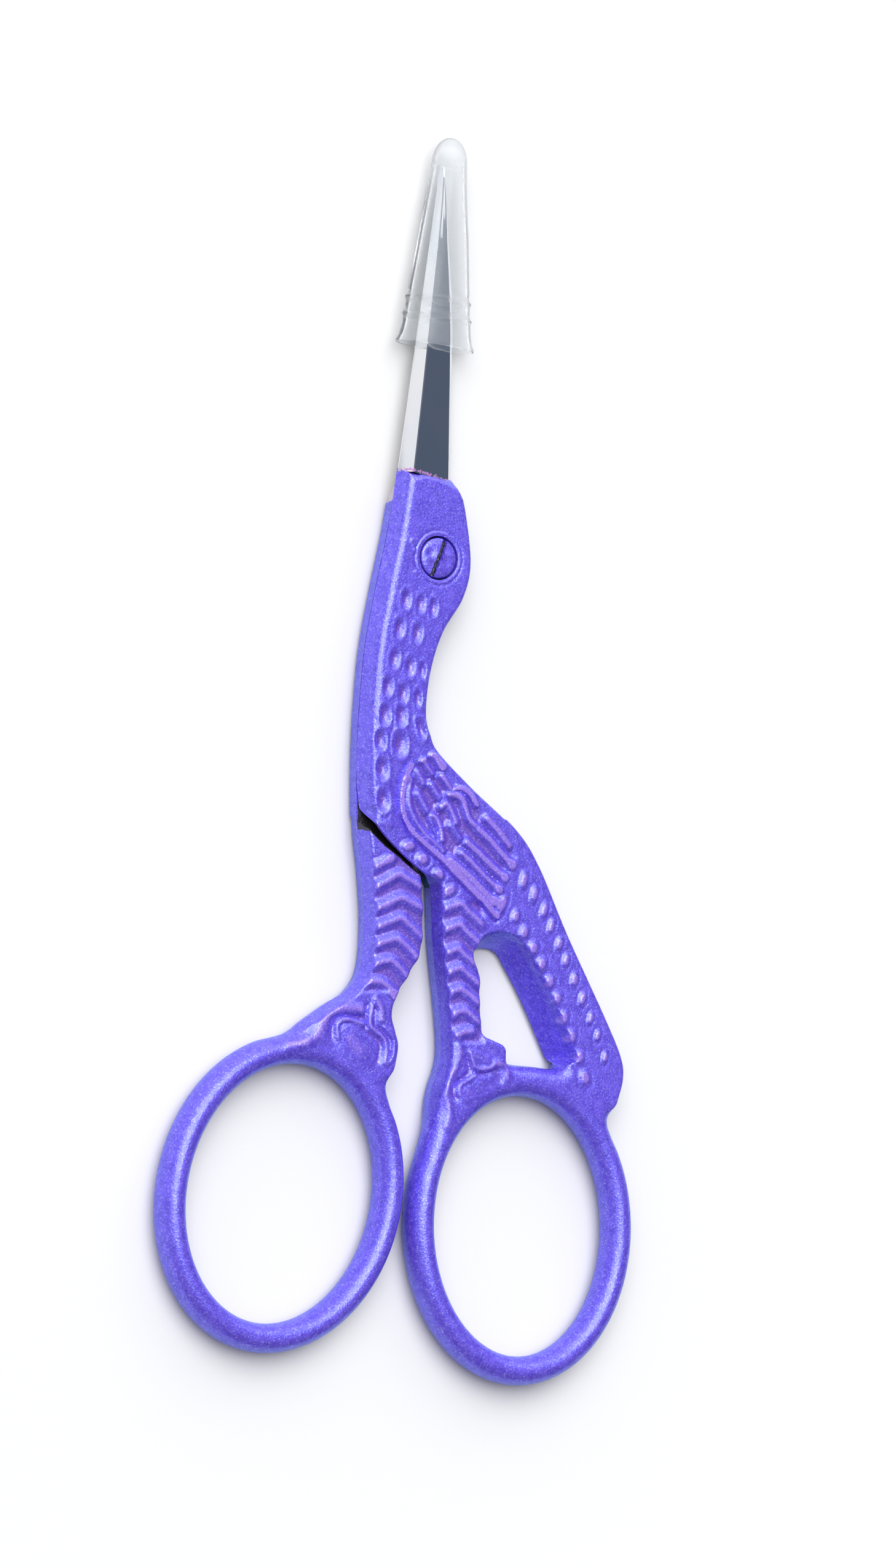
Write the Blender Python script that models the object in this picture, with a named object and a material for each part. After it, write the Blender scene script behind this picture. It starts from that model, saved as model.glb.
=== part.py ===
"""Stork embroidery scissors with a soft tip guard, lying flat and closed.

Metres, +Z up, +Y towards the blade tips. The pivot axis is the world Z axis and the
table is z = 0. The front half lies over the back half from the tips to the neck, and
both have the full thickness in their legs and finger rings.
"""
import math

import bpy
import numpy as np
from mathutils import Vector

MM = 0.001

# Levels, in mm
TOP = 4.0                 # upper face of both halves
MID_UP, MID_LOW = 2.05, 1.95   # lapped faces: underside of the front, top of the back
EDGE_ROUND = 0.40         # rounding of the outer edges
DRAFT = 0.30              # how far the walls lean in over the full height

# Finger rings: centre x, centre y, half width, half length, turn in degrees
RIGHT_RING = (9.75, -62.90, 10.98, 13.68, 1.6)
LEFT_RING = (-16.08, -59.64, 11.38, 13.60, -18.8)
RING_WIDTH, RING_THICK = 2.8, 3.7

# Pivot screw
HEAD_R, HEAD_LOW, HEAD_RIM, HEAD_TOP = 2.05, 3.05, 3.80, 4.05
RECESS_R, RECESS_FLOOR = 2.25, 3.00
SHANK_R, BORE_R = 1.10, 1.15
SLOT_WIDTH, SLOT_FLOOR, SLOT_TURN = 0.55, 3.50, 27.0

# Tip guard: oval soft sleeve along its own leaning centre line
GUARD_BASE = (0.60, 20.20, 2.00)
GUARD_LEAN = 5.3          # degrees from +Y towards +X
GUARD_LENGTH = 20.1
GUARD_WALL = 0.45

# Front body: corner points and smooth stretches, in mm
NECK_RIGHT = [(2.25, 7.64), (3.1, 4.2), (3.6, -0.5), (2.7, -3.9), (0.5, -7.2), (-0.8, -10.8),
              (-1.3, -14.6), (-0.8, -16.7)]
BACK_RIGHT = [(0.1, -18.3), (3.6, -21.3), (8.4, -25.2), (11.0, -28.7),
              (14.2, -35.2), (18.4, -43.0), (20.3, -47.0), (20.3, -49.6), (19.5, -52.3)]
FRONT_LEG_LEFT = [(-0.3, -53.2), (0.35, -49.6), (1.15, -47.2), (1.25, -45.2), (0.9, -41.5),
                  (0.35, -36.5), (0.1, -31.0)]
FRONT_STEP = [(0.1, -31.0), (-0.7, -28.8), (-1.1, -25.0), (-1.15, -18.6)]
NECK_LEFT = [(-7.6, -23.7), (-7.95, -20.0), (-7.65, -14.5), (-7.0, -8.4), (-5.8, -2.7),
             (-4.6, 2.3), (-3.5, 8.55)]
SLOT_EDGE = [(0.6, -30.3), (-3.5, -27.2), (-7.6, -23.7)]

# Back half
HIND_NECK_RIGHT = [(2.75, 5.4), (3.2, 3.0), (3.5, -0.5), (2.6, -3.9), (0.4, -7.2), (-0.9, -10.8),
                   (-1.5, -14.6), (-1.9, -19.0), (-2.1, -25.0), (-2.3, -31.0)]
HIND_NECK_LEFT = [(-6.6, -31.0), (-7.5, -27.0), (-7.9, -23.0), (-7.65, -14.5), (-7.0, -8.4),
                  (-5.8, -2.7), (-4.6, 2.3), (-4.0, 5.4)]
HIND_STEP = [(-7.0, -25.9), (-5.9, -27.1), (-4.4, -28.1), (-2.2, -29.3)]
HIND_LEG_RIGHT = [(-2.2, -29.3), (-1.75, -33.5), (-2.0, -37.2), (-4.2, -40.8), (-5.15, -43.1),
                  (-4.5, -46.0), (-5.15, -49.4)]
HIND_LEG_LEFT = [(-15.9, -44.95), (-14.0, -43.75), (-11.2, -42.0), (-8.8, -40.6), (-7.3, -38.2),
                 (-7.1, -34.0), (-7.4, -29.5), (-7.75, -26.8)]

# Opening between front leg and tail: its edge at the upper face and at the table
GAP_TOP = [(4.55, -38.0), (4.5, -41.0), (4.9, -44.5), (7.2, -45.8), (8.5, -47.9), (9.0, -50.0),
           (15.4, -51.6), (15.3, -48.3), (13.7, -44.6), (10.6, -38.0), (8.6, -34.9), (6.4, -34.8)]
GAP_LOW = [(4.6, -38.4), (4.55, -41.0), (5.0, -44.2), (7.2, -45.5), (8.5, -47.5), (9.0, -50.0),
           (14.2, -51.4), (14.0, -48.0), (12.6, -44.6), (9.4, -38.7), (7.9, -36.9), (6.2, -36.8)]

# Blades: y, outer edge x, ridge x, cutting edge x, ridge height above the lapped face
FRONT_BLADE = [(8.04, -3.45, -2.60, 2.30, 1.65), (14.0, -2.55, -1.80, 2.40, 1.50),
               (20.0, -1.60, -0.95, 2.48, 1.30), (26.0, -0.62, -0.10, 2.35, 1.12),
               (32.0, 0.34, 0.72, 1.98, 0.94), (37.3, 1.20, 1.32, 1.52, 0.70)]
BACK_BLADE = [(5.43, 2.55, 1.65, -3.90, 1.65), (8.0, 2.20, 1.35, -3.35, 1.62),
              (14.0, 2.20, 1.45, -2.40, 1.48), (20.0, 2.25, 1.60, -1.45, 1.28),
              (26.0, 2.15, 1.65, -0.48, 1.10), (32.0, 1.85, 1.50, 0.46, 0.92),
              (36.9, 1.46, 1.36, 1.20, 0.68)]
EDGE_THICK = 0.22
COAT_SLANT = -0.158       # slope of the line where the coating ends on the front half
JOINT_GAP = 0.03          # seam between a coated part and its bare blade


def clear_scene():
    for ob in list(bpy.data.objects):
        bpy.data.objects.remove(ob, do_unlink=True)


def collection(name):
    col = bpy.data.collections.new(name)
    bpy.context.scene.collection.children.link(col)
    return col


def material(name, color, metallic, roughness, transmission=0.0):
    mat = bpy.data.materials.new(name)
    mat.use_nodes = True
    bsdf = mat.node_tree.nodes["Principled BSDF"]
    bsdf.inputs["Base Color"].default_value = (*color, 1.0)
    bsdf.inputs["Metallic"].default_value = metallic
    bsdf.inputs["Roughness"].default_value = roughness
    bsdf.inputs["Transmission Weight"].default_value = transmission
    return mat


def curve_through(points, steps=4):
    """Smooth open stretch through the points (Catmull-Rom), last point left out."""
    p = np.array(points, float)
    ext = np.vstack([2 * p[0] - p[1], p, 2 * p[-1] - p[-2]])
    t = np.arange(steps)[:, None] / steps
    out = []
    for a, b, c, d in zip(ext[:-3], ext[1:-2], ext[2:-1], ext[3:]):
        out.append(0.5 * (2 * b + (c - a) * t + (2 * a - 5 * b + 4 * c - d) * t ** 2
                          + (3 * b - a - 3 * c + d) * t ** 3))
    return np.vstack(out)


def ring_point(ring, angle, grow=0.0):
    """Point of a finger ring's centre line, angle in degrees from the ring's own +X."""
    cx, cy, a, b, turn = ring
    s, c = math.sin(math.radians(turn)), math.cos(math.radians(turn))
    u = (a + grow) * np.cos(np.radians(angle))
    v = (b + grow) * np.sin(np.radians(angle))
    return np.stack([cx + u * c - v * s, cy + u * s + v * c], -1)


def thinned(outline, clear=1.3, turn=0.76):
    """Outline without the points that crowd a sharp corner."""
    ahead = np.roll(outline, -1, 0) - outline
    ahead /= np.linalg.norm(ahead, axis=1)[:, None]
    sharp = (ahead * np.roll(ahead, 1, 0)).sum(1) < turn
    apart = np.linalg.norm(outline[:, None] - outline[sharp][None], axis=2)
    return outline[sharp | (apart.min(1) > clear)]


def inset(outline, amount):
    """Outline moved inwards by an amount in mm (outline runs counter-clockwise)."""
    edge = np.roll(outline, -1, 0) - outline
    edge /= np.linalg.norm(edge, axis=1)[:, None]
    normal = np.stack([-edge[:, 1], edge[:, 0]], -1)
    before = np.roll(normal, 1, 0)
    mitre = normal + before
    mitre /= np.maximum((mitre * normal).sum(1), 0.55)[:, None]
    return outline + amount * mitre


def counter_clockwise(outline):
    x, y = outline[:, 0], outline[:, 1]
    area = np.sum(x * np.roll(y, -1) - np.roll(x, -1) * y)
    return outline if area > 0 else outline[::-1]


def loft(name, sections, mat, col, origin=(0.0, 0.0, 0.0)):
    """Closed body through rings of equal point count, in mm, with flat end faces."""
    n = len(sections[0])
    o = np.array(origin)
    verts = (np.vstack(sections) - o) * MM
    faces = [tuple(range(n))[::-1], tuple(range((len(sections) - 1) * n, len(sections) * n))]
    for k in range(len(sections) - 1):
        for i in range(n):
            j = (i + 1) % n
            faces.append((k * n + i, k * n + j, (k + 1) * n + j, (k + 1) * n + i))
    mesh = bpy.data.meshes.new(name)
    mesh.from_pydata(verts.tolist(), [], faces)
    mesh.validate()
    ob = bpy.data.objects.new(name, mesh)
    ob.location = Vector(o * MM)
    col.objects.link(ob)
    if mat:
        mesh.materials.append(mat)
    return ob


def level(outline, z):
    return np.column_stack([outline, np.full(len(outline), z)])


def plate(name, outline, low, high, mat, col, lean=DRAFT):
    """Plate with rounded edges whose walls lean in towards the top."""
    outline = thinned(counter_clockwise(outline))
    r = EDGE_ROUND
    share = lean * (high - low) / TOP
    rows = [(low, 0.6 * r), (low + 0.3 * r, 0.15 * r), (low + r, 0.0), (high - r, share),
            (high - 0.3 * r, share + 0.3 * r), (high, share + r)]
    return loft(name, [level(inset(outline, d), z) for z, d in rows], mat, col)


def ring_tube(name, ring, col, around=56, section=14):
    """Oval tube along a finger ring's centre line."""
    angles = np.arange(around) * 360.0 / around
    centre = ring_point(ring, angles)
    out = ring_point(ring, angles, 1.0) - centre
    out /= np.linalg.norm(out, axis=1)[:, None]
    phi = np.arange(section) * 2 * math.pi / section + math.pi / section
    u = 0.5 * RING_WIDTH * np.cos(phi)
    w = 0.5 * RING_THICK * np.sin(phi)
    xy = centre[:, None, :] + out[:, None, :] * u[None, :, None]
    z = np.broadcast_to(0.5 * TOP + w, (around, section))
    verts = np.concatenate([xy, z[..., None]], -1).reshape(-1, 3) * MM
    faces = []
    for i in range(around):
        for k in range(section):
            a, b = i * section + k, i * section + (k + 1) % section
            c, d = ((i + 1) % around) * section + (k + 1) % section, ((i + 1) % around) * section + k
            faces.append((a, d, c, b))
    mesh = bpy.data.meshes.new(name)
    mesh.from_pydata(verts.tolist(), [], faces)
    ob = bpy.data.objects.new(name, mesh)
    col.objects.link(ob)
    return ob


def turned(name, profile, mat, col, around=40):
    """Body of revolution about the pivot axis from a radius-height profile in mm."""
    angles = np.arange(around) * 2 * math.pi / around
    circle = np.stack([np.cos(angles), np.sin(angles)], -1)
    rows = [level(circle * r, z) for r, z in profile]
    return loft(name, rows, mat, col)


def tool(ob):
    ob.hide_render = True
    ob.display_type = 'WIRE'
    return ob


def combine(ob, other, operation):
    mod = ob.modifiers.new(operation.lower() + "_" + other.name, 'BOOLEAN')
    mod.operation = operation
    mod.solver = 'EXACT'
    mod.object = tool(other)


def joined(*stretches):
    """Closed outline from smooth stretches that share their end points."""
    return np.vstack([curve_through(s) if len(s) > 2 else np.array(s[:1], float)
                      for s in stretches])


def front_handle(mat, col, cuts):
    under = ring_point(RIGHT_RING, np.linspace(40, 142, 9))
    body = np.vstack([curve_through(BACK_RIGHT), [BACK_RIGHT[-1]], under,
                      curve_through(FRONT_LEG_LEFT), curve_through(FRONT_STEP), [FRONT_STEP[-1]]])
    ob = plate("front_handle", body, 0.0, TOP, mat, col)
    rows = [(-0.5, -0.125), (4.5, 1.125)]
    top, low = counter_clockwise(np.array(GAP_TOP)), counter_clockwise(np.array(GAP_LOW))
    gap = loft("leg_tail_gap", [level(low + (top - low) * f, z) for z, f in rows], None, cuts)
    neck = np.vstack([curve_through(NECK_RIGHT), [(-0.8, -16.7), (1.4, -21.0), (2.0, -30.0)],
                      curve_through(SLOT_EDGE), curve_through(NECK_LEFT), [NECK_LEFT[-1]]])
    upper = plate("front_neck", neck, MID_UP, TOP, None, cuts, lean=1.2)
    combine(ob, gap, 'DIFFERENCE')
    combine(ob, upper, 'UNION')
    combine(ob, ring_tube("right_ring", RIGHT_RING, cuts), 'UNION')
    combine(ob, turned("head_recess", [(RECESS_R, RECESS_FLOOR), (RECESS_R + 0.05, 5.0)], None, cuts),
            'DIFFERENCE')
    combine(ob, turned("front_bore", [(BORE_R, 1.0), (BORE_R, 3.5)], None, cuts), 'DIFFERENCE')
    return ob


def back_handle(mat, col, cuts):
    under = ring_point(LEFT_RING, np.linspace(64, 106, 5))
    leg = np.vstack([curve_through(HIND_STEP), curve_through(HIND_LEG_RIGHT),
                     [HIND_LEG_RIGHT[-1]], under, curve_through(HIND_LEG_LEFT),
                     [HIND_LEG_LEFT[-1]]])
    ob = plate("back_handle", leg, 0.0, TOP, mat, col, lean=0.45)
    neck = np.vstack([curve_through(HIND_NECK_RIGHT), [HIND_NECK_RIGHT[-1]],
                      curve_through(HIND_NECK_LEFT), [HIND_NECK_LEFT[-1]]])
    lower = plate("back_neck", neck, 0.0, MID_LOW, None, cuts, lean=0.0)
    combine(ob, lower, 'UNION')
    combine(ob, ring_tube("left_ring", LEFT_RING, cuts), 'UNION')
    combine(ob, turned("back_bore", [(BORE_R, -1.0), (BORE_R, 3.0)], None, cuts), 'DIFFERENCE')
    return ob


def blade(name, rows, face, up, slant, mat, col):
    """Blade loft: a back facet, a ridge and a wide face falling to the cutting edge."""
    rows = np.array(rows)
    fine = curve_through(rows, 3)
    fine = np.vstack([fine, rows[-1:]])
    out = []
    for y, spine, ridge, edge, height in fine:
        x = np.array([spine, edge, edge, ridge])
        z = face + up * np.array([0.0, 0.0, EDGE_THICK, height])
        fade = max(0.0, 1.0 - (y - fine[0, 0]) / 6.0)
        out.append(np.column_stack([x, y + slant * x * fade, z]))
    if (rows[0, 3] > rows[0, 1]) != (up > 0):
        out = [s[::-1] for s in out]
    return loft(name, out[::-1], mat, col)


def pivot_screw(mat, col, cuts):
    dome = [(HEAD_R * math.cos(a), HEAD_RIM + (HEAD_TOP - HEAD_RIM) * math.sin(a))
            for a in np.radians([0, 20, 40, 60, 80])]
    profile = [(SHANK_R, 0.0), (SHANK_R, HEAD_LOW), (HEAD_R - 0.08, HEAD_LOW),
               (HEAD_R, HEAD_LOW + 0.08)] + dome
    ob = turned("pivot_screw", profile, mat, col)
    t = math.radians(-SLOT_TURN)
    box = np.array([(-1, -1), (1, -1), (1, 1), (-1, 1)]) * [0.5 * SLOT_WIDTH, 3.0]
    turned_box = np.column_stack([box[:, 0] * math.cos(t) - box[:, 1] * math.sin(t),
                                  box[:, 0] * math.sin(t) + box[:, 1] * math.cos(t)])
    slot = loft("driver_slot", [level(turned_box, SLOT_FLOOR), level(turned_box, 5.0)], None, cuts)
    combine(ob, slot, 'DIFFERENCE')
    return ob


def guard_half_sizes(s):
    """Outer half width and half height of the guard at a share s of its length."""
    stops = [0.0, 0.035, 0.09, 0.26, 0.52, 0.74, 0.88, 0.94, 0.975, 0.994, 1.0]
    wide = [4.30, 3.85, 3.62, 3.22, 2.57, 1.98, 1.70, 1.45, 1.05, 0.55, 0.25]
    tall = [1.98, 1.96, 1.92, 1.88, 1.83, 1.74, 1.55, 1.28, 0.92, 0.48, 0.22]
    return np.interp(s, stops, wide), np.interp(s, stops, tall)


def tip_guard(mat, col):
    """Closed oval sleeve: outer skin from lip to dome, then the inner skin back."""
    phi = np.arange(32) * 2 * math.pi / 32
    rows = []
    for s in [0.0, 0.035, 0.09, 0.26, 0.52, 0.74, 0.88, 0.94, 0.975, 0.994, 1.0]:
        a, b = guard_half_sizes(s)
        rows.append((s * GUARD_LENGTH, a, b))
    for s in [0.955, 0.94, 0.90, 0.80, 0.52, 0.26, 0.09, 0.035, 0.0]:
        a, b = guard_half_sizes(s)
        cap = min(1.0, 0.25 + (0.955 - s) / 0.04)
        rows.append((s * GUARD_LENGTH, (a - GUARD_WALL) * cap, (b - GUARD_WALL) * cap))
    t = math.radians(GUARD_LEAN)
    bx, by, bz = GUARD_BASE
    sections = []
    for along, a, b in rows:
        u, w = a * np.cos(phi), b * np.sin(phi)
        sections.append(np.column_stack([bx + u * math.cos(t) + along * math.sin(t),
                                         by - u * math.sin(t) + along * math.cos(t), bz + w]))
    n, m = len(phi), len(sections)
    verts = (np.vstack(sections) - np.array(GUARD_BASE)) * MM
    apex = 10                                     # last outer row, closed by its own face
    faces = []
    for k in range(m):
        if k == apex:
            continue
        for i in range(n):
            j, up = (i + 1) % n, ((k + 1) % m) * n
            faces.append((k * n + i, up + i, up + j, k * n + j))
    faces.append(tuple(apex * n + i for i in range(n))[::-1])
    faces.append(tuple((apex + 1) * n + i for i in range(n)))
    mesh = bpy.data.meshes.new("tip_guard")
    mesh.from_pydata(verts.tolist(), [], faces)
    mesh.materials.append(mat)
    ob = bpy.data.objects.new("tip_guard", mesh)
    ob.location = Vector(np.array(GUARD_BASE) * MM)
    col.objects.link(ob)
    return ob


def main():
    clear_scene()
    col = collection("stork_scissors")
    cuts = collection("cutters")
    coat_front = material("front_coating", (0.16, 0.10, 0.62), 0.6, 0.4)
    coat_back = material("back_coating", (0.16, 0.10, 0.60), 0.6, 0.4)
    steel_front = material("front_steel", (0.62, 0.62, 0.63), 1.0, 0.12)
    steel_back = material("back_steel", (0.60, 0.60, 0.62), 1.0, 0.14)
    screw_metal = material("screw_coating", (0.20, 0.14, 0.60), 0.7, 0.35)
    clear = material("clear_soft_plastic", (0.95, 0.96, 0.97), 0.0, 0.08, 1.0)
    front_handle(coat_front, col, cuts)
    back_handle(coat_back, col, cuts)
    blade("front_blade", FRONT_BLADE, MID_UP, 1.0, COAT_SLANT, steel_front, col)
    blade("back_blade", BACK_BLADE, MID_LOW, -1.0, 0.0, steel_back, col)
    pivot_screw(screw_metal, col, cuts)
    tip_guard(clear, col)


if __name__ == "__main__":
    main()
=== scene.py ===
"""Stork embroidery scissors: the looks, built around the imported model.

Shapes are worked out in millimetres in the model's own frame: the pivot axis is the Z
axis, +Y points to the tips and the table is z = 0. Meshes are stored in metres.
"""
import math

import bpy
import numpy as np
from bpy.props import FloatProperty, FloatVectorProperty, PointerProperty
from mathutils import Matrix, Vector
from mathutils.geometry import delaunay_2d_cdt


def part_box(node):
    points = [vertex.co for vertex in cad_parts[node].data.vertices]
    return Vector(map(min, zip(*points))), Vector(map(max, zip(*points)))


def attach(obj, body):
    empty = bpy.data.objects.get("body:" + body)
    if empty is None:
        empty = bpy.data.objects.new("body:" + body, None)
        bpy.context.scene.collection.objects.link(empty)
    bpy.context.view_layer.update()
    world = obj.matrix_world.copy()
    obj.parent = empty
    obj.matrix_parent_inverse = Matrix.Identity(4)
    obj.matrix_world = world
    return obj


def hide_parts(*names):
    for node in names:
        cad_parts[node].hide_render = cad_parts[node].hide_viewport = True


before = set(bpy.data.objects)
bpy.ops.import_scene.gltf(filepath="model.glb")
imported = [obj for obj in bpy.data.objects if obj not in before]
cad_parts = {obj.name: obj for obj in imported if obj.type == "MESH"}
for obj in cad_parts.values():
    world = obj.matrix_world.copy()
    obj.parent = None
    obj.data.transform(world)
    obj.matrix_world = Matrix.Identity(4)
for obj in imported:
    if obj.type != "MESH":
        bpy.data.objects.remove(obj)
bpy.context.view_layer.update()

bl_info = {
    "name": "Stork embroidery scissors",
    "version": (1, 0, 0),
    "blender": (4, 5, 0),
    "location": "3D View > Sidebar > Scissors",
    "description": "Builds coated stork scissors, their blades, screw and tip guard",
    "category": "Add Mesh",
}

MM = 0.001
LENGTH = 0.115                          # blade tip to ring end, in metres
FRAME_ROWS, LENGTH_ROWS = 2551, 1990    # height of a full-size render, and the length in it


# --------------------------------------------------------------------------
# Driving sizes, in mm. A node's box gives the levels, so both models agree.
# --------------------------------------------------------------------------

def node_box(name):
    """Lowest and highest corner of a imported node, in mm."""
    low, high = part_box(name)
    return np.array(low) / MM, np.array(high) / MM


TOP = float(node_box("front_handle")[1][2])           # upper face, 4.0
FRONT_LAP = float(node_box("front_blade")[0][2])      # underside of the front blade
BACK_LAP = float(node_box("back_blade")[1][2])        # upper side of the back blade
MID = 2.0                                             # level between the two halves
SKIN = 0.20                                           # relief stands this proud of the face
RELIEF_MAX = 0.19                                     # and never quite reaches the box
WALL = 1.9                                            # a layer's height, for rounding edges
EDGE_ROUND = 0.42                                     # radius of a rounded upper edge
DRAFT = 0.5                                           # most that a right-facing wall leans
RING_CLEAR = 1.6                                      # from a ring's middle line: its tube ends
NECK_END = -24.5                                      # y where the neck's walls end

# Finger rings: centre x, centre y, half width, half length, turn in degrees
RIGHT_RING = (9.75, -62.90, 10.98, 13.68, 1.6)
LEFT_RING = (-16.08, -59.64, 11.38, 13.60, -18.8)
RING_HALF_WIDTH, RING_HALF_THICK = 1.4, 1.82

# Outlines at the lapped faces
FRONT_RIGHT_EDGE = [(2.25, 7.64), (3.1, 4.2), (3.6, -0.5), (2.7, -3.9), (0.5, -7.2),
                    (-0.8, -10.8), (-1.3, -14.6), (-0.8, -16.7), (0.1, -18.2), (3.6, -21.3),
                    (8.4, -25.2), (11.0, -28.7), (14.2, -35.2), (18.4, -43.0), (20.2, -46.8),
                    (20.45, -49.0), (19.75, -51.4), (19.35, -53.0)]
FRONT_LEG_EDGE = [(-0.45, -53.4), (0.15, -50.2), (1.1, -47.4), (1.25, -45.2), (0.9, -41.5),
                  (0.35, -36.5), (0.1, -31.2)]
FRONT_SLOT_EDGE = [(-0.05, -30.7), (-1.3, -29.9), (-2.5, -29.1), (-3.65, -28.25), (-4.6, -27.45),
                   (-5.8, -26.35), (-6.7, -25.3), (-7.5, -23.9)]
FRONT_NECK_EDGE = [(-7.7, -23.3), (-7.95, -20.0), (-7.65, -14.5), (-7.0, -8.4), (-5.8, -2.7),
                   (-4.6, 2.3), (-3.5, 8.55)]
LEG_GAP = [(4.55, -38.6), (4.45, -41.0), (4.6, -43.6), (4.9, -44.7), (6.0, -45.2), (7.1, -45.8),
           (7.7, -46.9), (8.5, -47.55), (11.2, -47.8), (13.3, -48.0), (13.95, -47.6),
           (13.3, -46.0), (11.0, -41.4), (9.2, -38.4), (8.2, -37.0), (6.9, -36.6), (5.4, -36.9)]
BACK_RIGHT_EDGE = [(2.75, 5.4), (3.2, 3.0), (3.5, -0.5), (2.6, -3.9), (0.4, -7.2),
                   (-0.9, -10.8), (-1.5, -14.6), (-1.9, -19.0), (-2.1, -25.0), (-1.95, -29.8),
                   (-1.75, -33.5), (-2.0, -37.0), (-3.2, -39.2), (-4.6, -41.3), (-5.15, -43.0),
                   (-4.75, -44.6), (-4.45, -46.0), (-4.85, -48.2), (-5.1, -49.8)]
BACK_LEFT_EDGE = [(-15.6, -44.8), (-13.6, -43.5), (-11.2, -42.0), (-8.8, -40.6), (-7.45, -38.4),
                  (-7.1, -34.0), (-7.4, -29.5), (-7.85, -25.5), (-7.9, -20.0), (-7.65, -14.5),
                  (-7.0, -8.4), (-5.8, -2.7), (-4.6, 2.3), (-4.0, 5.4)]
SLOT_REACH, SLOT_UNDERCUT = (1.9, 1.4), 1.55          # from the slot's edge, and its rise
# Neck areas, where a half has only its own layer; the step wall is their lower or right side
FRONT_NECK_AREA = [(-14, 12), (-14, -31.4), (0.1, -31.2), (-0.7, -28.8), (-1.1, -25.0),
                   (-1.15, -19.2), (-0.6, -18.5), (0.6, -18.1), (8, -17.5), (8, 12)]
BACK_NECK_AREA = [(-14, 12), (-14, -24.4), (-9.0, -24.5), (-8.0, -24.8), (-7.1, -25.5),
                  (-5.4, -26.95), (-3.6, -28.1), (-2.5, -28.9), (-1.0, -29.9), (8, -29.9), (8, 12)]

# Step walls between the layers, both halves
STEP_LINES = np.array([(1.0, -18.0), (-0.6, -18.5), (-1.15, -19.2), (-1.1, -25.0), (-0.7, -28.8),
                       (0.1, -31.2), (-1.0, -29.9), (-2.5, -28.9), (-3.6, -28.1), (-5.4, -26.95),
                       (-7.1, -25.5), (-8.0, -24.8)])

# Blades: y, outer edge x, ridge x, cutting edge x, ridge height above the lapped face
FRONT_BLADE = [(8.04, -3.45, -2.60, 2.30, 1.65), (14.0, -2.55, -1.80, 2.40, 1.50),
               (20.0, -1.60, -0.95, 2.48, 1.30), (26.0, -0.62, -0.10, 2.35, 1.12),
               (32.0, 0.34, 0.72, 1.98, 0.94), (37.3, 1.20, 1.32, 1.52, 0.70)]
BACK_BLADE = [(5.43, 2.55, 1.65, -3.90, 1.65), (8.0, 2.20, 1.35, -3.35, 1.62),
              (14.0, 2.20, 1.45, -2.40, 1.48), (20.0, 2.25, 1.60, -1.45, 1.28),
              (26.0, 2.15, 1.65, -0.48, 1.10), (32.0, 1.85, 1.50, 0.46, 0.92),
              (36.9, 1.46, 1.36, 1.20, 0.68)]
COAT_SLANT = -0.158                                    # lean of the line where the coat ends
COAT_END, COAT_LINE = 8.0, 7.8                         # y of its ramp's foot and of its flecks
FILM_END, FILM_START = 7.7, 6.9                        # y where stray coat fades, and is full

# Pivot screw
HEAD_R, HEAD_LOW, HEAD_RIM, HEAD_TOP = 1.90, 3.05, 3.70, 4.02
SHANK_R, BORE_R, RECESS_R, THREAD_TOP = 1.10, 1.15, 2.02, 1.9
DRIVE_WIDTH, DRIVE_FLOOR, DRIVE_TURN = 0.42, 3.45, 23.0

# Soft dents and lumps in the coated head: x, y, radius, height
SCREW_DENTS = [(-0.95, 0.45, 0.45, -0.16), (-0.75, -0.65, 0.42, -0.14), (0.85, -0.35, 0.5, -0.13),
               (0.75, 0.8, 0.4, -0.10), (-1.3, -0.1, 0.25, 0.05), (1.35, 0.3, 0.25, 0.05)]

# Tip guard: its own leaning centre line, outer half sizes at shares of its length
GUARD_BASE, GUARD_LEAN, GUARD_LENGTH = (0.60, 20.20, 2.00), 5.3, 20.1
GUARD_SOLID_FROM = 36.0                                # y where the guard's closed end begins
GUARD_DOME_FROM, GUARD_DOME = 0.88, (1.70, 1.55)       # share of its length, half sizes there
GUARD_WALL = 0.45
GUARD_RIBS = (23.0, 24.6)                              # y of the two ribs
GUARD_RIB_SHARES = (0.142, 0.222)                      # their shares of the length,
GUARD_DIP_SHARES = (0.165, 0.245)                      # and those of the dips behind them
GUARD_STOPS = [0.0, 0.035, 0.09, 0.26, 0.52, 0.74, 0.88, 0.94, 0.975, 0.994, 1.0]
GUARD_WIDE = [4.30, 3.85, 3.62, 3.22, 2.57, 1.98, 1.70, 1.45, 1.05, 0.55, 0.0]
GUARD_TALL = [1.98, 1.96, 1.92, 1.88, 1.83, 1.74, 1.55, 1.28, 0.92, 0.48, 0.0]


# --------------------------------------------------------------------------
# Relief: where the feathers, scales and claws are, in mm
# --------------------------------------------------------------------------

# Neck feather dimples: x, y, half width, half length, lean in degrees
DIMPLES = [(-3.55, -4.1, 0.52, 0.92, -8), (-1.95, -4.45, 0.48, 0.90, -8),
           (-0.55, -4.75, 0.44, 0.88, -6), (-4.25, -6.8, 0.54, 0.95, -10),
           (-2.3, -7.2, 0.54, 0.95, -8), (-4.8, -9.7, 0.54, 0.92, -10),
           (-3.1, -10.4, 0.52, 0.92, -8), (-1.75, -10.7, 0.36, 0.80, -4),
           (-5.5, -12.3, 0.54, 0.95, -6), (-3.85, -12.9, 0.54, 0.95, -6),
           (-2.25, -13.3, 0.40, 0.85, 0), (-5.85, -15.0, 0.56, 0.95, -4),
           (-4.05, -15.0, 0.56, 0.98, -2), (-1.95, -16.1, 0.40, 0.98, 16),
           (-6.35, -17.4, 0.56, 0.92, 0), (-4.2, -17.7, 0.74, 1.10, 0),
           (-6.15, -20.1, 0.60, 0.98, 2), (-6.05, -23.0, 0.60, 0.98, 4)]
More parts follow.
